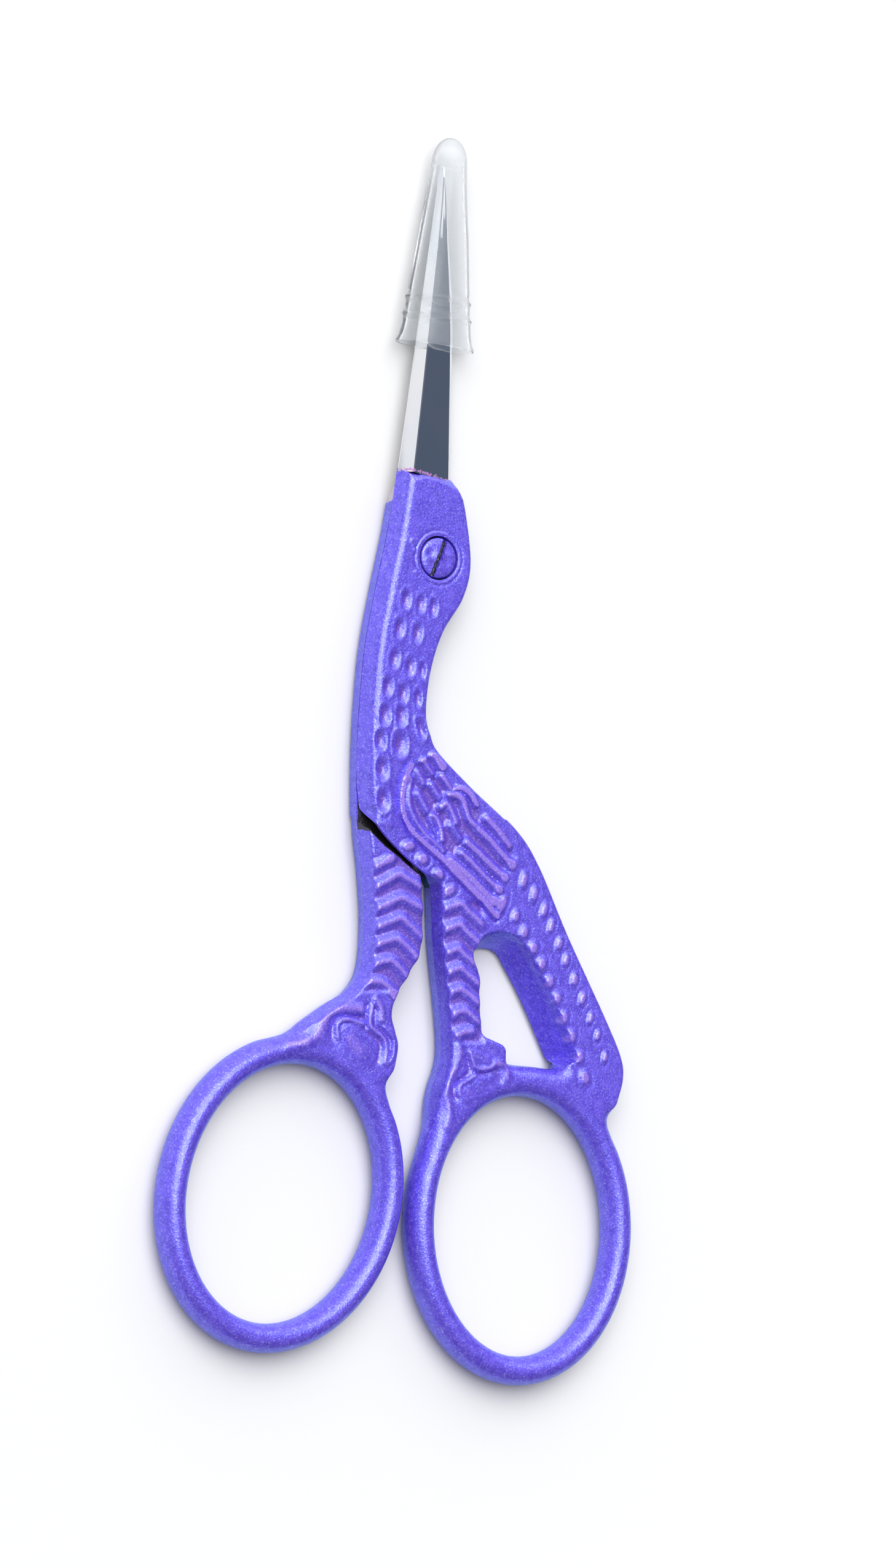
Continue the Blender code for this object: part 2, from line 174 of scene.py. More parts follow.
# Lines below: points, half width and height, raised if positive
NECK_LINES = [([(-7.0, -15.8), (-7.15, -17.5), (-6.95, -18.9), (-7.1, -20.2), (-6.95, -21.6),
                (-7.0, -23.2), (-6.6, -24.9)], 0.26, 0.10),
              ([(-5.3, -15.9), (-5.65, -17.4), (-5.5, -18.8), (-5.25, -20.2), (-5.5, -21.6),
                (-5.15, -23.2), (-5.3, -24.8)], 0.28, 0.10),
              ([(-6.6, -18.8), (-5.6, -18.8)], 0.24, 0.09),
              ([(-6.6, -21.6), (-5.6, -21.6)], 0.24, 0.09),
              ([(-6.35, -25.1), (-5.4, -25.2)], 0.5, 0.12)]
WING_RIM = [(-3.0, -19.7), (-3.73, -21.2), (-3.98, -22.8), (-3.9, -23.95), (-3.5, -24.9),
            (-2.85, -25.85), (-2.06, -26.5), (-1.26, -27.1), (-0.3, -27.8), (0.65, -28.5),
            (1.6, -29.4), (2.6, -30.25), (3.7, -31.2), (4.8, -32.15), (5.7, -33.0), (6.35, -33.6)]
WING_FIELD = WING_RIM + [(6.7, -32.2), (7.6, -30.6), (8.5, -29.2), (9.0, -27.9), (8.2, -26.5),
                         (6.3, -24.5), (4.4, -22.9), (2.3, -21.2), (0.6, -19.6), (-0.6, -18.4),
                         (-2.0, -18.9)]
WING_LINES = [
    (WING_RIM, 0.24, 0.19),
    ([(-3.1, -20.9), (-3.28, -22.3), (-3.17, -23.6), (-2.69, -24.6), (-2.06, -25.5),
      (-1.26, -26.3), (-0.35, -26.95), (0.45, -27.6)], 0.36, 0.17),
    ([(-0.62, -18.8), (0.30, -19.75)], 0.34, 0.16), ([(-1.6, -19.35), (-0.75, -20.4)], 0.36, 0.17),
    ([(-2.4, -20.2), (-1.7, -21.35)], 0.38, 0.17), ([(0.25, -20.6), (1.25, -21.75)], 0.34, 0.17),
    ([(-0.85, -21.4), (0.0, -22.6)], 0.36, 0.17), ([(-2.3, -22.3), (-1.3, -23.9)], 0.38, 0.17),
    ([(1.5, -21.85), (2.4, -21.65), (3.2, -22.0), (3.8, -22.7), (4.1, -23.2)], 0.22, 0.17),
    ([(1.15, -22.3), (1.9, -22.35), (2.65, -22.95), (3.0, -23.8), (3.35, -24.6),
      (3.95, -25.15)], 0.38, 0.19),
    ([(0.3, -23.45), (0.85, -23.15), (1.4, -23.9), (1.85, -24.9)], 0.38, 0.18),
    ([(1.35, -25.2), (2.35, -26.4)], 0.38, 0.16),
    ([(-0.9, -24.3), (-0.3, -24.55), (0.2, -25.6), (0.35, -26.6)], 0.34, 0.18),
    ([(-1.0, -24.5), (-0.55, -25.7), (0.05, -26.8)], 0.22, 0.16),
    ([(5.2, -24.55), (6.4, -25.65), (7.6, -27.0)], 0.36, 0.14),
    ([(4.3, -25.45), (5.7, -26.55), (6.9, -27.75), (7.9, -28.7)], 0.44, 0.19),
    ([(3.05, -26.75), (4.4, -27.75), (5.7, -28.85), (7.1, -29.9)], 0.44, 0.19),
    ([(2.5, -27.75), (3.9, -28.9), (5.1, -30.0), (6.5, -31.05)], 0.42, 0.18),
    ([(1.25, -28.5), (2.7, -29.5), (3.9, -30.45), (5.1, -31.5), (5.95, -32.3)], 0.50, 0.19)]
# Small lumps beside the screw, and pads under the wing: x, y, half width, half length, lean
BLEMISHES = [(-2.9, 1.5, 0.28, 0.35, 20), (-2.6, 0.6, 0.2, 0.3, 0), (-2.5, -1.5, 0.42, 0.22, -20)]
PADS = [(-3.3, -27.2, 0.85, 0.55, 8), (-1.8, -28.4, 0.72, 0.62, 10), (-0.05, -29.85, 0.66, 0.62, 0),
        (1.05, -31.35, 0.95, 0.55, 24)]
LEG_SCALES = [[(0.2, -33.2), (1.5, -32.8), (2.5, -32.6), (3.3, -33.3), (5.0, -34.6)],
              [(0.2, -35.2), (1.3, -34.8), (2.4, -34.5), (3.0, -35.1), (4.5, -36.3)],
              [(0.5, -37.3), (1.4, -37.0), (2.2, -36.8), (2.9, -37.4), (4.3, -38.4)],
              [(0.8, -39.2), (1.6, -38.8), (2.4, -38.6), (3.1, -39.1), (4.3, -40.0)],
              [(1.0, -41.1), (1.8, -40.7), (2.5, -40.6), (3.2, -41.0), (4.3, -41.8)],
              [(1.5, -43.0), (2.2, -42.7), (2.8, -42.6), (3.4, -42.9), (4.3, -43.6)],
              [(2.0, -44.9), (2.7, -44.6), (3.6, -44.5)]]
HIND_LEG_SCALES = [[(-7.2, -29.35), (-6.2, -28.95), (-5.2, -28.55)],
                   [(-7.1, -31.3), (-5.6, -30.5), (-4.4, -29.9), (-3.4, -30.3), (-2.1, -30.95)],
                   [(-7.0, -33.3), (-5.4, -32.6), (-4.1, -32.1), (-3.2, -32.4), (-1.9, -33.0)],
                   [(-6.9, -34.9), (-5.4, -34.4), (-4.1, -34.0), (-3.2, -34.6), (-1.9, -35.7)],
                   [(-7.0, -36.6), (-5.6, -36.15), (-4.5, -35.95), (-3.5, -36.6), (-2.2, -37.8)],
                   [(-7.3, -38.5), (-6.0, -38.05), (-5.1, -38.0), (-4.4, -38.5), (-3.4, -39.5)],
                   [(-8.3, -40.15), (-7.2, -39.9), (-6.3, -40.0), (-5.5, -40.4), (-4.7, -41.1)]]
# Tail bars: x, y, half width, half length, lean
TAIL_BARS = [(9.35, -30.2, 0.42, 0.88, -12), (10.5, -31.5, 0.40, 0.80, -14),
             (11.6, -33.0, 0.38, 0.78, -18), (12.4, -34.5, 0.36, 0.72, -18),
             (13.3, -36.15, 0.40, 0.66, -18), (14.05, -37.7, 0.36, 0.68, -14),
             (15.0, -39.5, 0.40, 0.72, -12), (15.9, -41.35, 0.38, 0.70, -16),
             (16.8, -43.2, 0.32, 0.62, -16), (17.6, -44.8, 0.32, 0.60, -16),
             (18.4, -46.9, 0.32, 0.60, -14), (8.45, -33.6, 0.44, 0.66, -20),
             (9.4, -35.1, 0.50, 0.66, -20), (10.4, -36.6, 0.54, 0.66, -20),
             (11.35, -38.1, 0.50, 0.70, -18), (12.2, -39.8, 0.52, 0.70, -18),
             (13.05, -41.35, 0.52, 0.66, -18), (13.8, -43.2, 0.50, 0.74, -16),
             (14.65, -45.0, 0.50, 0.74, -16), (15.55, -46.9, 0.50, 0.70, -14),
             (16.15, -48.8, 0.56, 0.76, 14), (6.95, -32.45, 0.46, 1.12, -22)]
HIND_CLAW_LINES = [
    ([(-8.5, -42.5), (-9.8, -42.4), (-10.9, -42.5), (-11.8, -42.9), (-12.4, -43.65),
      (-12.85, -44.5), (-13.5, -45.25), (-14.7, -45.7), (-16.2, -45.9)], 0.55, 0.17),
    ([(-12.4, -44.3), (-12.7, -45.4)], 0.45, 0.13),
    ([(-10.9, -45.2), (-11.0, -44.3), (-10.7, -43.7), (-10.0, -43.5), (-9.2, -43.65),
      (-8.2, -43.95)], 0.26, 0.15),
    ([(-7.2, -42.2), (-7.45, -43.3), (-7.45, -44.0), (-6.9, -44.55), (-6.15, -45.1),
      (-5.78, -45.7), (-5.7, -46.6), (-5.85, -47.5)], 0.26, 0.17),
    ([(-6.8, -41.6), (-6.25, -42.5), (-6.2, -43.5)], 0.36, 0.16),
    ([(-5.9, -44.2), (-5.0, -45.1), (-4.85, -46.0), (-5.05, -47.1), (-5.7, -47.8)], 0.2, 0.12),
    ([(-9.6, -45.4), (-8.6, -46.4)], 1.5, 0.14),
    ([(-8.2, -43.35), (-9.8, -43.0), (-10.9, -43.25), (-11.4, -44.0), (-11.5, -45.1),
      (-11.1, -45.8)], 0.30, -0.22),
    ([(-10.45, -45.0), (-10.55, -44.35), (-10.1, -44.0), (-9.1, -44.35), (-8.0, -44.65),
      (-7.1, -45.1), (-6.4, -45.7), (-6.4, -46.6), (-6.6, -47.4)], 0.30, -0.22),
    ([(-7.75, -42.2), (-7.9, -43.1), (-7.9, -44.2)], 0.28, -0.20),
    ([(-6.85, -42.4), (-6.9, -43.5), (-6.75, -44.15), (-6.0, -44.65), (-5.3, -45.4),
      (-5.25, -46.3), (-5.3, -47.1)], 0.24, -0.20)]
CLAW_LINES = [
    ([(2.3, -45.6), (2.3, -46.7), (1.95, -47.75), (1.25, -48.75), (0.95, -49.75), (0.9, -50.75),
      (1.15, -51.7), (1.25, -52.4), (0.9, -53.4)], 0.42, 0.15),
    ([(3.5, -46.5), (3.75, -47.4), (4.1, -47.95), (4.9, -48.05), (5.6, -47.95), (6.2, -47.6)],
     0.26, 0.16),
    ([(4.0, -46.7), (5.3, -47.3)], 0.5, 0.13),
    ([(6.2, -47.5), (7.2, -47.6), (7.55, -48.2), (7.5, -49.0)], 0.42, 0.16),
    ([(4.0, -48.7), (3.2, -49.15), (2.4, -49.6), (2.25, -50.2), (2.6, -50.75), (3.2, -51.0),
      (3.8, -50.6)], 0.26, 0.14),
    ([(3.1, -50.1), (3.3, -50.2)], 0.62, 0.14), ([(4.3, -49.2), (4.6, -49.5)], 0.5, 0.12),
    ([(3.15, -46.9), (3.3, -47.7), (3.35, -48.4), (2.6, -49.0), (1.9, -49.6), (1.6, -50.2),
      (1.9, -50.9)], 0.32, -0.22),
    ([(3.9, -48.4), (5.0, -48.55), (5.9, -48.3), (6.5, -48.3), (6.75, -49.1)], 0.28, -0.18)]


# --------------------------------------------------------------------------
# Plane geometry
# --------------------------------------------------------------------------

def smoothstep(low, high, x):
    """0 below low, 1 above high (or the other way round), 3t^2 - 2t^3 between."""
    t = np.clip((x - low) / (high - low), 0.0, 1.0)
    return t * t * (3.0 - 2.0 * t)


def even(path, step):
    """The same polyline with points at even steps along its length."""
    gone = np.r_[0.0, np.cumsum(np.linalg.norm(np.diff(path, axis=0), axis=1))]
    at = np.linspace(0.0, gone[-1], max(2, int(round(gone[-1] / step)) + 1))
    return np.column_stack([np.interp(at, gone, path[:, k]) for k in range(path.shape[1])])


def smooth(points, step=0.2):
    """Catmull-Rom curve through the points: each span is the cubic whose end slopes are
    half the chord between the neighbours on either side."""
    p = np.asarray(points, float)
    ext = np.vstack([2 * p[0] - p[1], p, 2 * p[-1] - p[-2]])
    a, b, c, d = ext[:-3], ext[1:-2], ext[2:-1], ext[3:]
    t = np.linspace(0, 1, 16, endpoint=False)[:, None, None]
    q = 0.5 * (2 * b + (c - a) * t + (2 * a - 5 * b + 4 * c - d) * t ** 2
               + (3 * b - a - 3 * c + d) * t ** 3)
    q = np.vstack([q.transpose(1, 0, 2).reshape(-1, p.shape[1]), p[-1:]])
    return even(q, step)


def ring_curve(ring, angles, grow=0.0):
    """Points of an ellipse turned by its angle: centre + half sizes times (cos, sin)."""
    cx, cy, a, b, turn = ring
    s, c = math.sin(math.radians(turn)), math.cos(math.radians(turn))
    u = (a + grow) * np.cos(np.radians(angles))
    v = (b + grow) * np.sin(np.radians(angles))
    return np.stack([cx + u * c - v * s, cy + u * s + v * c], -1)


def turns_left(loop):
    """True for a counter-clockwise loop: the area it encloses is positive."""
    x, y = loop[:, 0], loop[:, 1]
    return np.sum(x * np.roll(y, -1) - np.roll(x, -1) * y) > 0


def closed_loop(*stretches):
    """One counter-clockwise loop from stretches; each one's last point starts the next."""
    loop = np.vstack([s[:-1] for s in stretches])
    return loop if turns_left(loop) else loop[::-1]


def circle_loop(radius, points):
    """Closed loop round the pivot axis."""
    t = np.linspace(0, 2 * math.pi, points)
    return closed_loop(radius * np.stack([np.cos(t), np.sin(t)], -1))


def right_normals(loop, reach):
    """Unit vectors to the right of the chord between the points reach steps away."""
    edge = np.roll(loop, -reach, 0) - np.roll(loop, reach, 0)
    return np.stack([edge[:, 1], -edge[:, 0]], -1) / np.linalg.norm(edge, axis=1)[:, None]


def distance(points, path, closed=False):
    """Shortest distance from each point to a polyline's segments."""
    a = path.astype(np.float32)
    b = np.roll(a, -1, 0) if closed else a[1:]
    a = a if closed else a[:-1]
    along = b - a
    length2 = np.maximum((along ** 2).sum(1), 1e-12)
    parts = []
    pieces = max(1, len(points) * len(a) // 3000000)
    for p in np.array_split(points.astype(np.float32), pieces):
        rel = p[:, None, :] - a[None]
        t = np.clip((rel * along).sum(2) / length2, 0.0, 1.0)
        rel -= t[..., None] * along
        parts.append((rel ** 2).sum(2).min(1))
    return np.sqrt(np.concatenate(parts))


def within(points, loop):
    """Even-odd test: a point is inside if a ray to the right crosses the loop oddly."""
    x1, y1 = loop.T.astype(np.float32)
    x2, y2 = np.roll(loop, -1, 0).T.astype(np.float32)
    slope = (x2 - x1) / np.where(y2 == y1, 1e-9, y2 - y1)
    parts = []
    pieces = max(1, len(points) * len(loop) // 6000000)
    for p in np.array_split(points.astype(np.float32), pieces):
        px, py = p[:, :1], p[:, 1:]
        crossed = ((y1 > py) != (y2 > py)) & (px < x1 + (py - y1) * slope)
        parts.append(crossed.sum(1) % 2 == 1)
    return np.concatenate(parts)


def ovals(points, specs):
    """Smallest scaled radius to a set of leaning ovals, 1 on an oval's edge: the 2.4 power
    norm of the offsets over the half sizes."""
    s = np.array(specs, float)
    t = np.radians(s[:, 4])
    dx = points[:, :1] - s[:, 0]
    dy = points[:, 1:] - s[:, 1]
    u = (dx * np.cos(t) + dy * np.sin(t)) / s[:, 2]
    v = (-dx * np.sin(t) + dy * np.cos(t)) / s[:, 3]
    return (np.abs(u) ** 2.4 + np.abs(v) ** 2.4).min(1) ** (1 / 2.4)


# --------------------------------------------------------------------------
# Relief heights, in mm, positive outwards
# --------------------------------------------------------------------------

def lines_relief(p, lines, spread=1.35):
    """Rounded strokes along curves, as raised and sunk heights: (half a cosine wave) ^ 0.7
    of the distance to the curve over the half width, which spread makes wider. The highest
    raised stroke and the deepest groove win."""
    high, low = np.zeros(len(p)), np.zeros(len(p))
    for path, half, height in lines:
        half = spread * half
        curve = smooth(path, 0.3) if len(path) > 2 else np.array(path, float)
        near = ((p > curve.min(0) - half) & (p < curve.max(0) + half)).all(1)
        if not near.any():
            continue
        c = np.clip(distance(p[near], curve) / half, 0, 1)
        wave = height * (0.5 + 0.5 * np.cos(math.pi * c)) ** 0.7
        if height > 0:
            high[near] = np.maximum(high[near], wave)
        else:
            low[near] = np.minimum(low[near], wave)
    return high, low


def combined(high, low):
    """Grooves fade out under anything raised by 0.06 or more."""
    return high + low * np.clip(1 - high / 0.06, 0, 1)


def neck_relief(p):
    """Bowls, (1.1 - r^2)^1.5 deep for the scaled radius r of an oval, with a raised rim
    that is higher on the lower neck."""
    near = (p[:, 0] < 1.5) & (p[:, 1] > -26.5) & (p[:, 1] < -2.0)
    out = np.zeros(len(p))
    r = ovals(p[near], DIMPLES)
    bowl = -0.27 * np.clip(1.1 - r * r, 0, 1) ** 1.5
    rim = 0.045 * np.exp(-((r - 1.32) / 0.26) ** 2)
    rim = np.where(p[near][:, 1] < -15.0, 2.6 * rim, rim)
    high, low = lines_relief(p[near], NECK_LINES)
    out[near] = bowl + np.maximum(rim, high * (r > 0.9))
    return out


def wing_relief(p):
    """Sunk field inside the wing's border with feathers raised out of it, a ditch outside
    the border, and four pads below it."""
    field = closed_loop(np.vstack([smooth(WING_FIELD[:16], 0.3), WING_FIELD[16:]]))
    inside = within(p, field)
    edge = distance(p, field, True)
    open_side = distance(p, np.array(WING_FIELD[16:-2], float))
    sunk = -0.30 * smoothstep(0.0, 0.45, edge) * smoothstep(0.0, 1.3, open_side) * inside
    high, low = lines_relief(p, WING_LINES, 1.8)
    r = ovals(p, PADS)
    pads = 0.19 * smoothstep(1.2, 0.40, r) - 0.07 * np.exp(-((r - 1.3) / 0.22) ** 2)
    pads = np.where((p[:, 1] < -26.3) & ~inside, pads, 0.0)
    ditch = -0.16 * smoothstep(0.55, 0.15, np.abs(edge - 0.32)) * ~inside * (p[:, 0] < 6.6) \
        * (p[:, 1] < -19.5)
    near_rim = distance(p, smooth(WING_RIM, 0.4)) < 0.9
    return np.where(high > 0, sunk + high * 2.7, sunk + ditch * near_rim) + pads


def tail_relief(p):
    """Two rows of rounded leaning bars."""
    r = ovals(p, TAIL_BARS)
    return 0.20 * smoothstep(1.28, 0.35, r) - 0.04 * np.exp(-((r - 1.5) / 0.25) ** 2)


def scales_relief(p, scales):
    """Bent raised bands out of one shallow valley, which ends above and below them."""
    high, _ = lines_relief(p, [(path, 0.60, 0.40) for path in scales])
    top, bottom = scales[0][0][1] + 0.6, scales[-1][0][1] - 0.7
    valley = -0.22 * smoothstep(bottom - 0.3, bottom + 0.3, p[:, 1]) \
        * smoothstep(top + 0.9, top - 0.1, p[:, 1])
    return valley + high


def front_block_relief(p):
    """Everything below the neck on the front half."""
    x, y = p.T
    out = np.where(y < -18.0, wing_relief(p), 0.0)
    border = np.array(WING_RIM[7:], float)
    right_of = x > np.interp(-y, -border[:, 1], border[:, 0])
    leg = (x < 5.4) & (y < -31.9) & (~right_of | (y < -33.4))
    out = out + np.where(leg, scales_relief(p, LEG_SCALES) * smoothstep(-31.9, -32.6, y)
                         * smoothstep(5.3, 4.6, x), 0.0)
    out = out + np.where((y < -28.8) & (x > 5.9), tail_relief(p), 0.0)
    return out + combined(*lines_relief(p, CLAW_LINES))


def front_show_relief(p):
    """Block and neck, with a raised lip round the screw's recess and small lumps by it."""
    r = np.hypot(*p.T)
    lip = 0.09 * np.exp(-((r - RECESS_R - 0.28) / 0.17) ** 2)
    blemish = 0.10 * smoothstep(1.0, 0.3, ovals(p, BLEMISHES))
    return front_block_relief(p) + neck_relief(p) + lip + blemish


def back_leg_relief(p):
    """Scales and claws of the hind leg."""
    scales = np.where(p[:, 1] < -28.0, scales_relief(p, HIND_LEG_SCALES), 0.0)
    return scales + combined(*lines_relief(p, HIND_CLAW_LINES))


def back_show_relief(p):
    """The underside repeats the neck's dimples and the leg's scales."""
    return neck_relief(p) + back_leg_relief(p) * smoothstep(-27.5, -28.5, p[:, 1])


# --------------------------------------------------------------------------
# Cast halves
# --------------------------------------------------------------------------

def widened(loop, ring, lap, side):
    """Loop moved outwards by up to DRAFT where the material faces +X, away from the ring's
    tube, the screw and the neck's end; the draft on that side starts from there."""
    normal = side * right_normals(loop, 2)
    x, y = loop.T
    centre = ring_curve(ring, np.arange(0, 360, 4.0))
    share = smoothstep(1.9, 3.2, distance(loop, centre, True)) * smoothstep(7.7, 5.5, y)
    share *= smoothstep(2.5, 2.9, np.hypot(x, y))
    if lap < MID:
        share *= smoothstep(-28.0, -30.0, y)
    return loop + normal * (DRAFT * share * np.clip(normal[:, 0], 0, 1))[:, None]


class Half:
    """Outline, holes, neck area, ring and lapped level of one half."""

    def __init__(self, outline, holes, neck_area, ring, lap):
        self.loops = [widened(outline, ring, lap, 1.0)]
        self.loops += [widened(hole, ring, lap, -1.0) for hole in holes]
        self.coarse = [loop[::2] for loop in self.loops]
        self.neck_area = np.array(neck_area, float)
        self.centre = ring_curve(ring, np.arange(0, 360, 4.0))
        self.lap = lap

    def edge_distance(self, p):
        """Distance to the nearest loop, exact within 0.9 mm of it."""
        d = np.min([distance(p, loop, True) for loop in self.coarse], axis=0)
        near = d < 0.9
        d[near] = np.min([distance(p[near], loop, True) for loop in self.loops], axis=0)
        return d

    def roundness(self, p):
        """1 on the finger ring's tube and 0 away from it."""
        return smoothstep(2.9, 1.3, distance(p, self.centre, True))


def wall_shape(d, height, lean, radius):
    """Share of the full height at a distance from the edge: a leaning wall, then a
    quarter of a circle."""
    r = np.minimum(radius / np.maximum(height, 0.1), 0.9)
    wall = np.clip(d / lean, 0, 1) * (1 - r)
    e = np.clip((d - lean) / radius, 0, 1)
    return wall + r * np.sqrt(np.maximum(0, 1 - (1 - e) ** 2)) * (d > 0)


def tube_shape(d):
    """Half an ellipse across the ring's width."""
    e = np.clip(d / RING_HALF_WIDTH, 0, 1)
    return np.sqrt(np.maximum(0, 1 - (1 - e) ** 2))


# Distances of the rows of points from an edge, and from the neck area's step wall
EDGE_ROWS = (0.02, 0.08, 0.15, 0.22, 0.30, 0.37, 0.44, 0.52, 0.62, 0.75, 0.92, 1.15)
STEP_ROWS = (0.0, 0.04, 0.1, 0.18, 0.27, 0.36, 0.46, 0.58)


def surface_points(half, step, lap_side):
    """Plan points besides the loops' own: rows carried along the loops inwards (and along
    the neck area's wall on the lap side), and an even lattice."""
    rows = []
    for index, loop in enumerate(half.loops):
        inwards = right_normals(loop, 1) * (-1.0 if index == 0 else 1.0)
        rows += [loop + inwards * d for d in EDGE_ROWS]
    if lap_side:
        area = even(np.vstack([half.neck_area, half.neck_area[:1]]), 0.22)
        outwards = right_normals(area, 1) * (1.0 if turns_left(area) else -1.0)
        rows += [area + outwards * d for d in STEP_ROWS]
    rows = np.vstack(rows)
    low, high = half.loops[0].min(0), half.loops[0].max(0)
    xs = np.arange(low[0], high[0], step)
    ys = np.arange(low[1], high[1], step * 0.866)
    lattice = np.stack(np.meshgrid(xs, ys), -1)
    lattice[1::2, :, 0] += step / 2
    lattice = lattice.reshape(-1, 2)
    return rows, lattice


def keep_inside(half, points, clear):
    """The points inside the outline and outside the holes, further than clear from both."""
    inside = within(points, half.coarse[0])
    points = points[inside]
    for hole in half.coarse[1:]:
        points = points[~within(points, hole)]
    return points[half.edge_distance(points) > clear]


def triangulate(half, rows, lattice):
    """Delaunay triangles of all points with the loops' edges kept; those whose middle lies
    outside the outline or in a hole are dropped."""
    loops = half.loops
    points = np.vstack(loops + [rows, lattice])
    edges, start = [], 0
    for loop in loops:
        index = np.arange(start, start + len(loop))
        edges.append(np.column_stack([index, np.roll(index, -1)]))
        start += len(loop)
    result = delaunay_2d_cdt([Vector(p) for p in points.tolist()],
                             np.vstack(edges).tolist(), [], 0, 1e-6)
    plan = np.array([v[:] for v in result[0]])
    tris = np.array(result[2])
    middle = plan[tris].mean(1)
    inside = within(middle, loops[0])
    for hole in loops[1:]:
        inside &= ~within(middle, hole)
    return plan, tris[inside]


def half_side(half, height_at, step, lap_side, detailed):
    """One side's surface: plan triangles, with z worked out from the plan position. Where
    the side is not detailed, one lattice point in five is kept."""
    rows, lattice = surface_points(half, step, lap_side)
    rows = keep_inside(half, rows, 0.015)
    lattice = keep_inside(half, lattice, 0.5)
    keep = detailed(lattice) | (np.arange(len(lattice)) % 5 == 0)
    plan, tris = triangulate(half, rows, lattice[keep])
    on_edge = np.arange(len(plan)) < sum(len(loop) for loop in half.loops)
    z, relief, bare_and_shade = height_at(plan, on_edge)
    return np.column_stack([plan, z]), tris, np.column_stack([relief, bare_and_shade])


def join_sides(show, lap, up):
    """Both sides in one mesh; the loops' points are shared by welding equal places."""
    verts = np.vstack([show[0], lap[0]])
    marks = np.vstack([show[2], lap[2]])
    first, second = show[1], lap[1] + len(show[0])
    a, b, c = verts[first[0]]
    flip = (np.cross(b - a, c - a)[2] > 0) != up
    tris = np.vstack([first[:, ::-1] if flip else first, second if flip else second[:, ::-1]])
    key = np.round(verts * 20000).astype(np.int64)
    _, index, back = np.unique(key, axis=0, return_index=True, return_inverse=True)
    tris = back.reshape(-1)[tris]
    fine = (tris[:, 0] != tris[:, 1]) & (tris[:, 1] != tris[:, 2]) & (tris[:, 0] != tris[:, 2])
    return verts[index], tris[fine], marks[index]


def casting(half, heights, show_relief, lap_relief, show_step, lap_step, up):
    """A whole half. Its points are close together where there is relief: off the ring's
    tube and, on the lap side, off the flat lapped face as well."""
    def off_ring(p):
        return distance(p, half.centre, True) > RING_CLEAR

    def off_flats(p):
        return off_ring(p) & ~within(p, half.neck_area)

    show = half_side(half, heights(half, False, show_relief), show_step, False, off_ring)
    lap = half_side(half, heights(half, True, lap_relief), lap_step, True, off_flats)
    return join_sides(show, lap, up)


def front_half():
    """Front half in plan: body, leg and right ring, with the finger hole, the gap between
    leg and tail, and the screw's recess."""
    arc = ring_curve(RIGHT_RING, np.arange(33, -206, -6.0), RING_HALF_WIDTH - 0.06)
    outline = closed_loop(
        even(np.array([(-3.5, 8.55), (2.25, 7.64)]), 0.2),
        smooth(FRONT_RIGHT_EDGE + arc.tolist() + FRONT_LEG_EDGE),
        smooth(FRONT_LEG_EDGE[-1:] + FRONT_SLOT_EDGE, 0.2),
        smooth(FRONT_SLOT_EDGE[-1:] + FRONT_NECK_EDGE, 0.2))
    gap = closed_loop(smooth(LEG_GAP + LEG_GAP[:1], 0.2))
    return Half(outline, [finger_hole(RIGHT_RING), gap, circle_loop(RECESS_R, 73)],
                FRONT_NECK_AREA, RIGHT_RING, FRONT_LAP)


def back_half():
    """Back half in plan: leg and left ring, with the finger hole and the screw's bore."""
    arc = ring_curve(LEFT_RING, np.arange(50, -244, -6.0), RING_HALF_WIDTH - 0.06)
    outline = closed_loop(
        even(np.array([(-4.0, 5.4), (2.75, 5.4)]), 0.2),
        smooth(BACK_RIGHT_EDGE + arc.tolist() + BACK_LEFT_EDGE))
    return Half(outline, [finger_hole(LEFT_RING), circle_loop(BORE_R, 49)],
                BACK_NECK_AREA, LEFT_RING, BACK_LAP)


def finger_hole(ring):
    """The ring's inner ellipse as a loop with even steps."""
    return closed_loop(even(ring_curve(ring, np.arange(0, 361, 2.0), -RING_HALF_WIDTH), 0.25))


def blade_height(x):
    """Height of the front blade's face above the lapped face, at its root."""
    _, spine, crest, edge, height = FRONT_BLADE[0]
    rise = np.clip((x - spine) / (crest - spine), 0, 1) * height
    fall = np.clip((edge - x) / (edge - crest), 0, 1) * (height - 0.2) + 0.2
    return np.where(x < crest, rise, fall)


def ring_level(face, tube, side):
    """Level of a face, turning into the top or bottom of the ring's tube on the ring."""
    return face * (1 - tube) + (MID + side * RING_HALF_THICK) * tube


